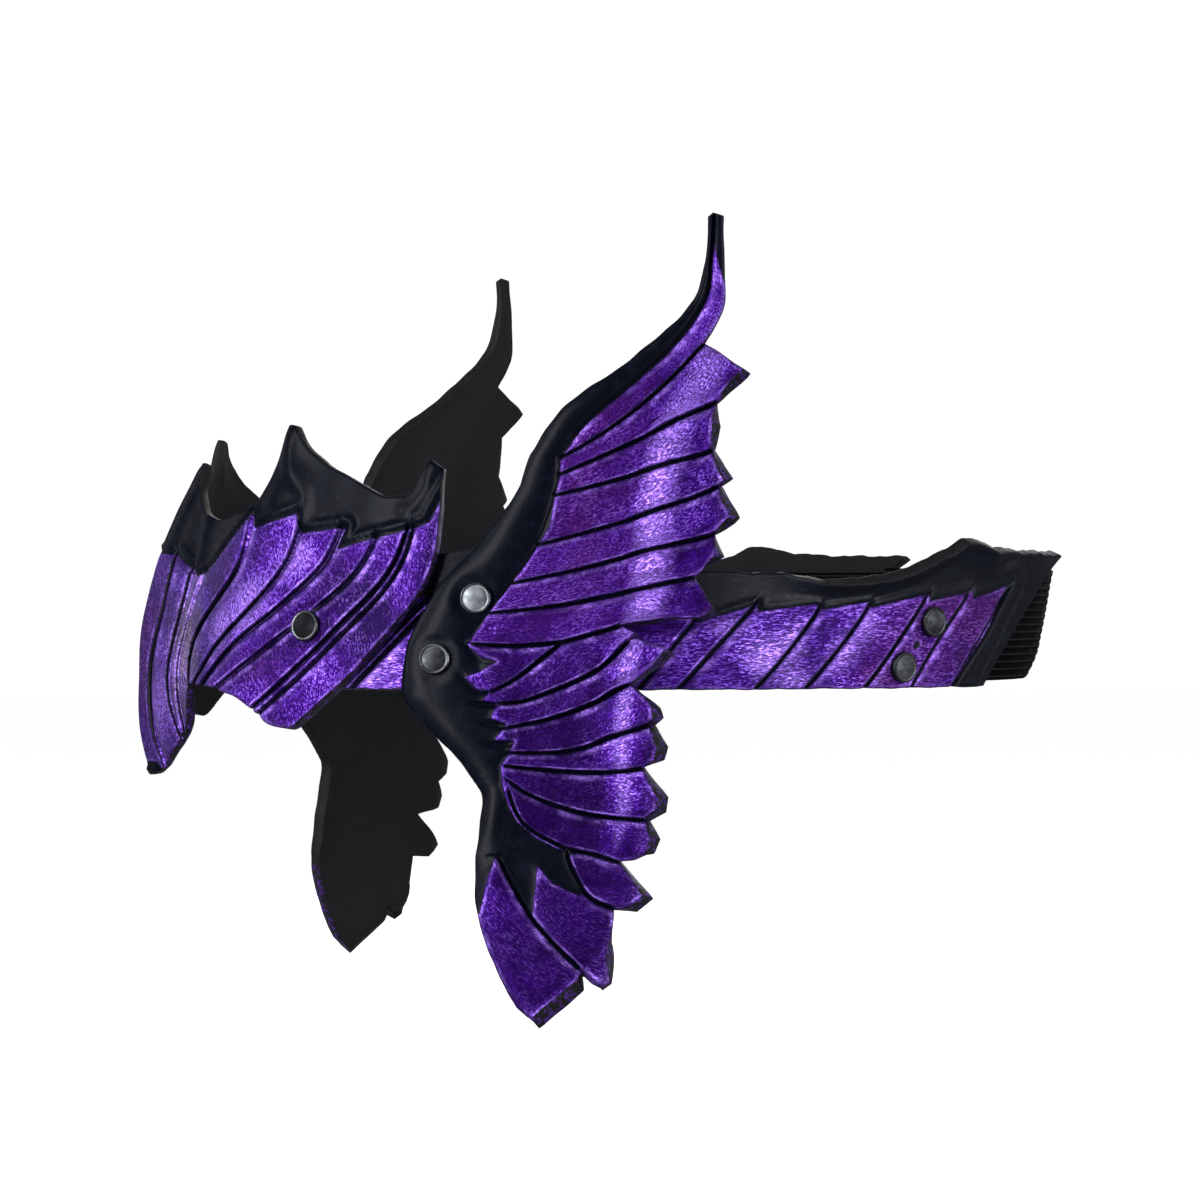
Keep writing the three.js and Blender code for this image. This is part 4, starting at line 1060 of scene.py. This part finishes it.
def rivetProfile(depth):
    foot, post, soft, roll = rivet["gap"], rivet["post"], rivet["soft"], rivet["rim"]
    cap, washer, chamfer = rivet["cap"], rivet["washer"], rivet["chamfer"]
    under = -depth - rivet["slack"]
    bottom = under - rivet["washerHeight"]
    rimTop = foot + rivet["capHeight"] - rivet["dome"]
    profile = [(0, bottom), (washer - chamfer, bottom), (washer, bottom + chamfer), (washer, under),
               (post, under), (post, foot), (cap - soft, foot), (cap, foot + soft)]
    for angle in rimAngles:
        profile.append((cap - roll + roll * math.cos(angle), rimTop - roll + roll * math.sin(angle)))
    inner = cap - roll - soft
    profile.append((inner, rimTop - rivet["sunk"]))
    for share in domeShares:
        profile.append((inner * share, rimTop - rivet["sunk"] + rivet["dome"] * (1 - share ** 2)))
    return profile


def seatOn(surface, flat, thick, step=0.4):
    u, v = flat
    spots = np.array([(u, v), (u + step, v), (u - step, v), (u, v + step), (u, v - step)], float)
    point, a, b, c, d = surface(spots, np.zeros(len(spots)))
    out = unit(np.cross(a - b, c - d))
    out = -out if out[1] > 0 else out
    return point + out * thick / 2, out


def makeRivet(name, seat, depth, mirror, pair):
    point, out = seatOn(*seat)
    if mirror:
        point, out = point * (1, -1, 1), out * (1, -1, 1)
    turn = np.array(Vector((0, 0, 1)).rotation_difference(Vector(out)).to_matrix())
    profile, sides = rivetProfile(depth), rivet["sides"]
    angles = np.linspace(0, 2 * math.pi, sides, endpoint=False)
    points, rings, faces = [], [], []
    for radius, height in profile:
        ring = 1 if radius == 0 else sides
        rings.append(range(len(points), len(points) + ring))
        points += [(radius * math.cos(a), radius * math.sin(a), height) for a in angles[:ring]]
    for low, high in zip(rings[:-1], rings[1:]):
        for k in range(sides):
            n = (k + 1) % sides
            corners = [low[k % len(low)], low[n % len(low)], high[n % len(high)], high[k % len(high)]]
            faces.append(list(dict.fromkeys(corners)))
    piece = newPiece(name, ((np.array(points) @ turn.T + point) * metre).tolist(), faces)
    discFrom = sides * (len(profile) - len(domeShares) - 1)
    piece.data.polygons.foreach_set("material_index", [int(k >= discFrom) for k in range(len(faces))])
    for metal in pair:
        piece.data.materials.append(metals[metal])
    piece.data.update()
    return piece


# Shader nodes; each function adds its nodes to a tree and gives back an output
def feed(tree, target, source):
    if isinstance(source, bpy.types.NodeSocket):
        tree.links.new(source, target)
    else:
        target.default_value = source


def dress(tree, node, looks):
    for key, source in looks.items():
        feed(tree, node.inputs[key], source)


def newNode(tree, kind, sockets, **settings):
    made = tree.nodes.new(kind)
    for key, value in settings.items():
        setattr(made, key, value)
    dress(tree, made, sockets)
    return made


def maths(tree, operation, a, b, clamp=False):
    return newNode(tree, "ShaderNodeMath", {0: a, 1: b}, operation=operation, use_clamp=clamp).outputs[0]


def times(tree, first, *others):
    for other in others:
        first = maths(tree, "MULTIPLY", first, other)
    return first


def most(tree, first, *others):
    for other in others:
        first = maths(tree, "MAXIMUM", first, other)
    return first


def weighed(tree, values, shares):
    return maths(tree, "ADD", *(times(tree, value, share) for value, share in zip(values, shares)))


def ramp(tree, value, low, high, start=0.0, end=1.0):
    sockets = {"Value": value, "From Min": low, "From Max": high, "To Min": start, "To Max": end}
    return newNode(tree, "ShaderNodeMapRange", sockets, interpolation_type="SMOOTHSTEP").outputs["Result"]


def blend(tree, share, a, b):
    kind = "RGBA" if isinstance(b, tuple) or b.type == "RGBA" else "FLOAT"
    a, b = ((*value, 1) if isinstance(value, tuple) else value for value in (a, b))
    return newNode(tree, "ShaderNodeMix", {"Factor": share, "A": a, "B": b}, data_type=kind).outputs["Result"]


def noise(tree, spot, scale, detail=3.0, rough=0.55, stretch=None):
    if stretch:
        spot = newNode(tree, "ShaderNodeMapping", {"Vector": spot, "Scale": stretch}).outputs[0]
    sockets = {"Vector": spot, "Scale": scale, "Detail": detail, "Roughness": rough}
    return newNode(tree, "ShaderNodeTexNoise", sockets).outputs["Fac"]


def bump(tree, height, strength, distance):
    sockets = {"Height": height, "Strength": strength, "Distance": distance}
    return newNode(tree, "ShaderNodeBump", sockets).outputs["Normal"]


def objectSpot(tree):
    return newNode(tree, "ShaderNodeTexCoord", {}).outputs["Object"]


def readMark(tree, name):
    made = newNode(tree, "ShaderNodeAttribute", {}, attribute_type="GEOMETRY", attribute_name=name)
    return made.outputs["Vector"] if name == "spot" else made.outputs["Fac"]


# Soft patches: noise of given sizes, brought into a range
def cloudy(tree, spot, sizes, reach):
    return ramp(tree, noise(tree, spot, *sizes), *reach)


def newMaterial(name):
    material = bpy.data.materials.new(name)
    material.use_nodes = True
    return material, material.node_tree, material.node_tree.nodes["Principled BSDF"]


# Effects that several materials share: a spot and numbers go in, and masks or heights come out
def newGroup(name, numbers, outputs):
    tree = bpy.data.node_groups.new(name, "ShaderNodeTree")
    tree.interface.new_socket("Spot", in_out="INPUT", socket_type="NodeSocketVector")
    for socket in numbers:
        tree.interface.new_socket(socket, in_out="INPUT", socket_type="NodeSocketFloat")
    for socket in outputs:
        tree.interface.new_socket(socket, in_out="OUTPUT", socket_type="NodeSocketFloat")
    return tree, tree.nodes.new("NodeGroupInput").outputs, tree.nodes.new("NodeGroupOutput")


# Pebbled grain of tanned leather: rounded cells with fine creases between them
grainForm = {"wander": 0.9, "shift": (0.7, 0.7, 0.7), "round": (0.0, 0.32), "fine": (4.5, 4),
             "shares": (0.7, 0.5)}


def grainGroup():
    tree, given, out = newGroup("leatherGrain", ("Cells",), ("Height", "Crease"))
    spot = given["Spot"]
    wander = newNode(tree, "ShaderNodeTexNoise", {"Vector": spot, "Scale": grainForm["wander"]})
    sockets = {0: wander.outputs["Color"], 1: grainForm["shift"], 2: spot}
    shifted = newNode(tree, "ShaderNodeVectorMath", sockets, operation="MULTIPLY_ADD").outputs[0]
    cells = newNode(tree, "ShaderNodeTexVoronoi", {}, feature="DISTANCE_TO_EDGE")
    dress(tree, cells, {"Vector": shifted, "Scale": given["Cells"]})
    pebble = ramp(tree, cells.outputs["Distance"], *grainForm["round"])
    fine = noise(tree, spot, *grainForm["fine"])
    dress(tree, out, {"Height": weighed(tree, (pebble, fine), grainForm["shares"]),
                      "Crease": maths(tree, "SUBTRACT", 1.0, pebble)})
    return tree


# Rubbed paint: broad thick and thin places, short brush strokes, fine flecks and bare specks
rubForm = {"broad": (5, 0.6), "strokes": (4, 0.65, (0.3, 1.5, 1)), "cross": (3, 0.6, (1.5, 0.4, 1)),
           "flecks": (3, 0.6, (0.7, 1.35, 1)), "specks": (2.2, 2, 0.5), "crossed": (0.65, 0.35)}
rubRamps = {"Thick": (0.36, 0.62), "Strokes": (0.38, 0.62), "Flecks": (0.36, 0.64), "Bare": (0.66, 0.72)}


def rubbedGroup():
    tree, given, out = newGroup("rubbedPaint", ("Patch", "Stroke", "Fine"), tuple(rubRamps))
    spot = given["Spot"]
    strokes = [noise(tree, spot, given["Stroke"], *rubForm[key]) for key in ("strokes", "cross")]
    made = {"Thick": noise(tree, spot, given["Patch"], *rubForm["broad"]),
            "Strokes": weighed(tree, strokes, rubForm["crossed"]),
            "Flecks": noise(tree, spot, given["Fine"], *rubForm["flecks"]),
            "Bare": noise(tree, spot, *rubForm["specks"])}
    dress(tree, out, {key: ramp(tree, made[key], *rubRamps[key]) for key in made})
    return tree


# A mask that rises over a short reach from a line, with an uneven edge
edgeForm = {"nibbles": (1.6, 3), "middle": 0.5}


def brokenEdgeGroup():
    tree, given, out = newGroup("brokenEdge", ("Distance", "Start", "Reach", "Uneven"), ("Mask",))
    uneven = maths(tree, "SUBTRACT", noise(tree, given["Spot"], *edgeForm["nibbles"]), edgeForm["middle"])
    moved = maths(tree, "ADD", given["Distance"], times(tree, uneven, given["Uneven"]))
    end = maths(tree, "ADD", given["Start"], given["Reach"])
    dress(tree, out, {"Mask": ramp(tree, moved, given["Start"], end)})
    return tree


groups = {"grain": grainGroup(), "rubbed": rubbedGroup(), "edge": brokenEdgeGroup()}


def useGroup(tree, key, **values):
    made = newNode(tree, "ShaderNodeGroup", {}, node_tree=groups[key])
    dress(tree, made, values)
    return made.outputs


# Carved face: black dye everywhere, metallic violet rubbed on the raised parts
# night is the colour where the dark mark lies, painted shade at the wing tips among it; bright is the colour
# of the painted highlights and of the sparkling flecks
carvedLook = {"night": (0.004, 0.0004, 0.023), "deep": (0.013, 0.0016, 0.06), "violet": (0.08, 0.008, 0.36),
              "bright": (0.44, 0.23, 1.0), "rosy": (0.12, 0.017, 0.19), "mauve": (0.29, 0.22, 0.32),
              "black": (0.0006, 0.001, 0.0042), "blackWorn": (0.0022, 0.0036, 0.009)}
carvedForm = {"specks": 0.4, "metal": 0.8, "shineTint": (0.85, 0.9, 1, 1), "coat": (0.0, 1.0, 0.065, 0.012),
              "coatRough": 0.26, "wear": (0.35, 4), "wearAndSheen": (0.45, 0.75), "brushed": (0.4, 0.5),
              "grain": 0.35, "violetRough": (0.0, 1.0, 0.46, 0.3), "blackRough": (0.2, 1.0, 0.55, 0.42),
              "bump": (0.55, 0.00018)}
# Where the paint starts at its outline and beside the cuts, and over what reach
paintEdges = {"paint": {"Start": -0.1, "Reach": 0.35, "Uneven": 0.5},
              "cutBelow": {"Start": 0.4, "Reach": 0.25, "Uneven": 0.35},
              "cutAbove": {"Start": 0.15, "Reach": 0.22, "Uneven": 0.2}}
# How far from a lip, a shoulder, the border and the sheet's edge the painted highlight comes and goes
raisedEdges = {"cutAbove": ((0.3, 0.42), (0.85, 0.5)), "cutBelow": ((0.5, 0.7), (2.0, 0.9)),
               "paint": ((0.1, 0.3), (0.9, 0.5, 0.0, 0.7)), "edge": ((0.8, 0.3, 0.0, 0.5),)}
raisedForm = {"Thick": (0.0, 0.8, 0.3, 0.9), "Flecks": (0.0, 0.8, 0.35, 1.0), "patches": (0.32, 3),
              "patchy": (0.4, 0.62, 0.15, 1.0)}
bodyForm = {"clouds": (0.1, 4, 0.6), "uneven": (0.3, 0.65, 0.25, 1.0), "streaks": (0.2, 1.0, 1.0, 0.65),
            "streaked": (0.25, 1.0, 0.7, 1.0), "sparkle": (0.6, 1.0, 0.0, 0.5), "strokes": 0.6,
            "gleam": -0.95, "dulled": (-0.4, 0.8, 1.0, 0.3), "flecks": (0.0, 1.0, 0.8, 0.0), "crease": 0.25}


# Where paint shows: inside its outline and out of the cuts, with bare specks
def paintShown(tree, spot, marks, bare):
    masks = [useGroup(tree, "edge", Spot=spot, Distance=marks[mark], **row)["Mask"]
             for mark, row in paintEdges.items()]
    return times(tree, *masks, maths(tree, "SUBTRACT", 1.0, times(tree, bare, carvedForm["specks"])))


# A painted highlight on the raised lips, shoulders and paint borders, where they catch the light, and
# lighter paint along the sheet's edges, wear and painted highlight both
def raisedHighlightAndWear(tree, spot, marks, rubbed):
    edges = [times(tree, *(ramp(tree, marks[mark], *reach) for reach in reaches))
             for mark, reaches in raisedEdges.items()]
    broken = [ramp(tree, rubbed[key], *raisedForm[key]) for key in ("Thick", "Flecks")]
    patchy = cloudy(tree, spot, raisedForm["patches"], raisedForm["patchy"])
    return times(tree, most(tree, *edges), times(tree, *broken, patchy))


# Body of the paint, from thin to thick and from rosy or grey to dark, with flecks that sparkle. The dark mark
# brings painted shade, and where it is below nothing a painted highlight; the raised edges get a painted
# highlight too
def paintBody(tree, spot, marks, rubbed, crease):
    tint, dark, flecks, thick = marks["tint"], marks["dark"], rubbed["Flecks"], rubbed["Thick"]
    uneven = cloudy(tree, spot, bodyForm["clouds"], bodyForm["uneven"])
    rosy = maths(tree, "MULTIPLY", most(tree, tint, 0.0), uneven, True)
    mauve = maths(tree, "MULTIPLY", most(tree, times(tree, tint, -1.0), 0.0), uneven, True)
    streaks = times(tree, ramp(tree, rubbed["Strokes"], *bodyForm["streaks"]),
                    ramp(tree, uneven, *bodyForm["streaked"]))
    sparkle = times(tree, ramp(tree, flecks, *bodyForm["sparkle"]), thick,
                    ramp(tree, dark, *bodyForm["dulled"]))
    layers = [
        (times(tree, rubbed["Strokes"], bodyForm["strokes"]), "violet"), (rosy, "rosy"), (mauve, "mauve"),
        # the dark mark below nothing: a painted highlight in the bright colour
        (maths(tree, "MULTIPLY", dark, bodyForm["gleam"], True), "bright"),
        # the dark mark in the night colour, painted shade at the wing tips among it
        (maths(tree, "MULTIPLY", dark, streaks, True), "night"),
        (ramp(tree, flecks, *bodyForm["flecks"]), "deep"),
        # painted highlight on the raised edges, with wear at the sheet's edges, and flecks that sparkle
        (most(tree, raisedHighlightAndWear(tree, spot, marks, rubbed), sparkle), "bright"),
        (times(tree, crease, bodyForm["crease"]), "deep"),
    ]
    body = blend(tree, thick, carvedLook["deep"], carvedLook["violet"])
    for share, color in layers:
        body = blend(tree, share, body, carvedLook[color])
    return body


def carvedLeather(name, patch, stroke, fine, cells, shine):
    material, tree, shader = newMaterial(name)
    spot = readMark(tree, "spot")
    marks = {mark: readMark(tree, mark) for mark in markNames}
    grain = useGroup(tree, "grain", Spot=spot, Cells=cells)
    rubbed = useGroup(tree, "rubbed", Spot=spot, Patch=patch, Stroke=stroke, Fine=fine)
    shown = paintShown(tree, spot, marks, rubbed["Bare"])
    body = paintBody(tree, spot, marks, rubbed, grain["Crease"])
    form = carvedForm
    wearAndSheen = cloudy(tree, spot, form["wear"], form["wearAndSheen"])
    black = blend(tree, wearAndSheen, carvedLook["black"], carvedLook["blackWorn"])
    violetRough = ramp(tree, rubbed["Flecks"], *form["violetRough"])
    blackRough = ramp(tree, grain["Height"], *form["blackRough"])
    brushed = weighed(tree, (rubbed["Strokes"], rubbed["Flecks"]), form["brushed"])
    height = weighed(tree, (grain["Height"], brushed), (form["grain"], shown))
    dress(tree, shader, {
        "Base Color": blend(tree, shown, black, body), "Metallic": times(tree, shown, form["metal"]),
        "Roughness": blend(tree, shown, blackRough, violetRough), "Specular IOR Level": shine,
        "Specular Tint": form["shineTint"], "Coat Weight": ramp(tree, shown, *form["coat"]),
        "Coat Roughness": form["coatRough"], "Normal": bump(tree, height, *form["bump"]),
    })
    return material


# Cut edge: dyed fibres with flecks of violet
cutLook = {"fibre": (0.001, 0.0011, 0.002), "grey": (0.013, 0.014, 0.018), "fleck": (0.06, 0.014, 0.19)}
cutForm = {"fibres": (2200.0, 5, 0.7), "greyed": (0.48, 0.72), "near": (0.0, 0.6), "flecks": (900.0, 4, 0.65),
           "flecked": (0.5, 0.62), "shine": 0.2, "rough": (0.3, 0.8, 0.42, 0.7), "bump": (0.7, 0.0003)}


def cutEdge():
    material, tree, shader = newMaterial("cutLeatherEdge")
    where = objectSpot(tree)
    fibres = noise(tree, where, *cutForm["fibres"])
    grey = blend(tree, ramp(tree, fibres, *cutForm["greyed"]), cutLook["fibre"], cutLook["grey"])
    near = ramp(tree, readMark(tree, "paint"), *cutForm["near"])
    fleck = times(tree, near, cloudy(tree, where, cutForm["flecks"], cutForm["flecked"]))
    dress(tree, shader, {
        "Base Color": blend(tree, fleck, grey, cutLook["fleck"]), "Specular IOR Level": cutForm["shine"],
        "Roughness": ramp(tree, fibres, *cutForm["rough"]), "Normal": bump(tree, fibres, *cutForm["bump"]),
    })
    return material


# Flesh side: dyed suede nap
fleshLook = {"dark": (0.002, 0.0022, 0.003), "nap": (0.011, 0.012, 0.014)}
fleshForm = {"nap": (1800.0, 6, 0.72), "raised": (0.35, 0.7), "clouds": (120.0, 3), "shares": (0.6, 0.4),
             "shine": 0.15, "sheen": 0.03, "rough": (0.3, 0.7, 0.72, 0.92), "bump": (0.6, 0.0003)}


def fleshSide():
    material, tree, shader = newMaterial("dyedFleshSide")
    where = objectSpot(tree)
    nap = noise(tree, where, *fleshForm["nap"])
    both = (ramp(tree, nap, *fleshForm["raised"]), noise(tree, where, *fleshForm["clouds"]))
    share = weighed(tree, both, fleshForm["shares"])
    dress(tree, shader, {
        "Base Color": blend(tree, share, fleshLook["dark"], fleshLook["nap"]),
        "Specular IOR Level": fleshForm["shine"], "Sheen Weight": fleshForm["sheen"],
        "Roughness": ramp(tree, nap, *fleshForm["rough"]), "Normal": bump(tree, nap, *fleshForm["bump"]),
    })
    return material


# Elastic: dull black threads, with a painted highlight: a lighter colour on the crown of each rib, broken by
# the threads
elasticLook = {"thread": (0.0009, 0.001, 0.0014), "shine": (0.024, 0.027, 0.029)}
elasticForm = {"stitches": {"Scale": 0.62, "Distortion": 1.2, "Detail": 2}, "fuzz": (2.4, 4),
               "shares": (0.12, 0.95), "crown": (0.93, 1.0), "wearAndSheen": (0.2, 0.9, 0.35, 1.0), "shine": 0.02,
               "rough": (0.2, 1.0, 0.85, 0.6), "bump": (0.4, 0.0002)}


def elasticKnit():
    material, tree, shader = newMaterial("ribbedElastic")
    spot = readMark(tree, "spot")
    form = elasticForm
    sockets = {"Vector": spot} | form["stitches"]
    stitches = newNode(tree, "ShaderNodeTexWave", sockets, wave_type="BANDS", bands_direction="X")
    thread = weighed(tree, (stitches.outputs["Fac"], noise(tree, spot, *form["fuzz"])), form["shares"])
    crown = ramp(tree, readMark(tree, "rib"), *form["crown"])
    # painted highlight on the crown of each rib, broken up by the threads
    shine = times(tree, ramp(tree, thread, *form["wearAndSheen"]), crown)
    dress(tree, shader, {
        "Base Color": blend(tree, shine, elasticLook["thread"], elasticLook["shine"]),
        "Specular IOR Level": form["shine"], "Roughness": ramp(tree, thread, *form["rough"]),
        "Normal": bump(tree, thread, *form["bump"]),
    })
    return material


# Rivet metal: clouded between two tones, with rougher scuffs
metalForm = {"scuffs": (900.0, 5, 0.65), "scuffed": (0.35, 0.75), "rougher": 0.2, "clouds": (320.0, 3),
             "clouded": (0.35, 0.7), "bump": (0.15, 0.0001)}


def rivetMetal(name, tone, shine, rough):
    material, tree, shader = newMaterial(name)
    where = objectSpot(tree)
    scuffs = noise(tree, where, *metalForm["scuffs"])
    cloud = cloudy(tree, where, metalForm["clouds"], metalForm["clouded"])
    dress(tree, shader, {
        "Base Color": blend(tree, cloud, tone, shine), "Metallic": 1.0,
        "Roughness": ramp(tree, scuffs, *metalForm["scuffed"], rough, rough + metalForm["rougher"]),
        "Normal": bump(tree, scuffs, *metalForm["bump"]),
    })
    return material


edgeMaterial, fleshMaterial = cutEdge(), fleshSide()
# Each carved face has its own sizes of paint patches, strokes, flecks and grain cells, and its own shine
carvedFaces = {
    "wing": carvedLeather("carvedWing", 0.12, 1.1, 2.2, 0.9, 0.04),
    "plate": carvedLeather("carvedPlate", 0.11, 1.1, 2.8, 0.85, 0.04),
    "band": carvedLeather("carvedBand", 0.11, 1.2, 2.8, 1.0, 0.1),
}
metals = {
    "gunmetal": rivetMetal("gunmetalRivet", (0.035, 0.038, 0.043), (0.09, 0.095, 0.105), 0.26),
    "dark": rivetMetal("darkRivet", (0.022, 0.023, 0.026), (0.05, 0.053, 0.058), 0.3),
    "black": rivetMetal("blackRivet", (0.004, 0.004, 0.005), (0.009, 0.009, 0.01), 0.35),
    "pale": rivetMetal("paleRivet", (0.12, 0.13, 0.145), (0.27, 0.285, 0.31), 0.36),
}
print("materials ready")


def makeSheets():
    for key, arrays in (("wing", makeWing()), ("band", makeBand())):
        for side in ("left", "right"):
            piece = leatherPiece(f"{key}_{side}_carved", arrays, side == "right", carvedFaces[key])
            settle(piece, "violet_leather", f"{key}_{side}")
    piece = leatherPiece("front_plate_carved", makePlate(), False, carvedFaces["plate"])
    settle(piece, "violet_leather", "front_plate")


def makeElastic():
    piece, length = makeStrap()
    piece.data.materials.append(elasticKnit())
    settle(piece, "black_elastic", "elastic_strap")


# Each rivet's surface and place, how deep it goes, and the metals of its rim and its disc
def makeRivets():
    outer = outerLayer["inside"] + outerLayer["thick"] - bandLayer["inside"]
    inner = bandLayer["inside"] + bandLayer["thick"] - strapLayer["inside"]
    upper, lower = wingRivets["upper"], wingRivets["lower"]
    rows = [("brow", (platePlace, browRivet, outerLayer["thick"]), outer, ("gunmetal", "black")),
            ("wing_upper", (wingPlace, upper, outerLayer["thick"]), outer, ("gunmetal", "pale")),
            ("wing_lower", (wingPlace, lower, outerLayer["thick"]), outer, ("gunmetal", "dark"))]
    for key, flat in strapRivets.items():
        rows.append((f"strap_{key}", (bandPlace, flat, bandLayer["thick"]), inner, ("dark", "gunmetal")))
    for name, seat, depth, pair in rows:
        for side in ("left", "right"):
            piece = makeRivet(f"rivet_{name}_{side}_domed", seat, depth, side == "right", pair)
            settle(piece, "rivet_metal", f"rivet_{name}_{side}")


makeSheets()
makeElastic()
makeRivets()

# Pale floor and soft lights
stage = {"floor": -0.16, "size": 12, "tone": (0.3, 0.3, 0.31), "darker": 0.97, "mottle": (3.0, 2),
         "rough": 0.9, "lit": 0.97, "world": 0.07, "worldTone": (0.72, 0.8, 1, 1), "backdrop": 1.05}
lights = rowsOf(
    "name spot size power",
    ("keySoftbox", (-1.15, -0.75, 0.35), (0.38, 1.0), 20),
    ("sideSoftbox", (-1.38, -0.08, 0.5), (0.25, 0.5), 7),
    ("frontFill", (-0.85, 1.05, 0.4), (0.9, 0.9), 2),
    ("topSoftbox", (0.1, 0.1, 1.5), (1.6, 1.6), 5),
    ("rightSoftbox", (0.72, -1.2, 0.15), (0.6, 0.8), 17),
    ("rearFill", (1.3, -0.25, 0.35), (0.4, 0.8), 3),
    ("farSoftbox", (0.55, 1.35, 0.4), (1.0, 0.9), 9),
    ("backSoftbox", (1.1, 0.9, 0.5), (0.8, 0.8), 3),
)


def makeFloor():
    half = stage["size"] / 2
    corners = [(x * half, y * half, stage["floor"]) for x, y in ((-1, -1), (1, -1), (1, 1), (-1, 1))]
    floor = newPiece("paleFloor", corners, [(0, 1, 2, 3)])
    material, tree, shader = newMaterial("palePaper")
    darker = tuple(stage["darker"] * c for c in stage["tone"])
    seen = newNode(tree, "ShaderNodeLightPath", {}).outputs["Is Camera Ray"]
    dress(tree, shader, {
        "Base Color": blend(tree, noise(tree, objectSpot(tree), *stage["mottle"]), darker, stage["tone"]),
        "Emission Color": blend(tree, seen, (0.0, 0.0, 0.0), (1.0, 1.0, 1.0)),
        "Emission Strength": stage["lit"], "Roughness": stage["rough"],
    })
    floor.data.materials.append(material)


def makeLights():
    for row in lights:
        data = bpy.data.lights.new(row["name"], "AREA")
        data.shape = "RECTANGLE"
        data.size, data.size_y = row["size"]
        data.energy = row["power"]
        aim(inScene(row["name"], data), row["spot"], -Vector(row["spot"]))


# The camera sees a white backdrop, and the crown is lit by a dim cool one
def makeWorld():
    world = bpy.data.worlds.new("studio")
    bpy.context.scene.world = world
    world.use_nodes = True
    tree = world.node_tree
    dim = tree.nodes["Background"]
    dress(tree, dim, {"Color": stage["worldTone"], "Strength": stage["world"]})
    white = newNode(tree, "ShaderNodeBackground", {"Color": (1, 1, 1, 1), "Strength": stage["backdrop"]})
    seen = newNode(tree, "ShaderNodeLightPath", {}).outputs["Is Camera Ray"]
    both = newNode(tree, "ShaderNodeMixShader", {0: seen, 1: dim.outputs[0], 2: white.outputs[0]})
    feed(tree, tree.nodes["World Output"].inputs[0], both.outputs[0])
    bpy.context.scene.view_settings.view_transform = "Standard"


makeFloor()
makeLights()
makeWorld()
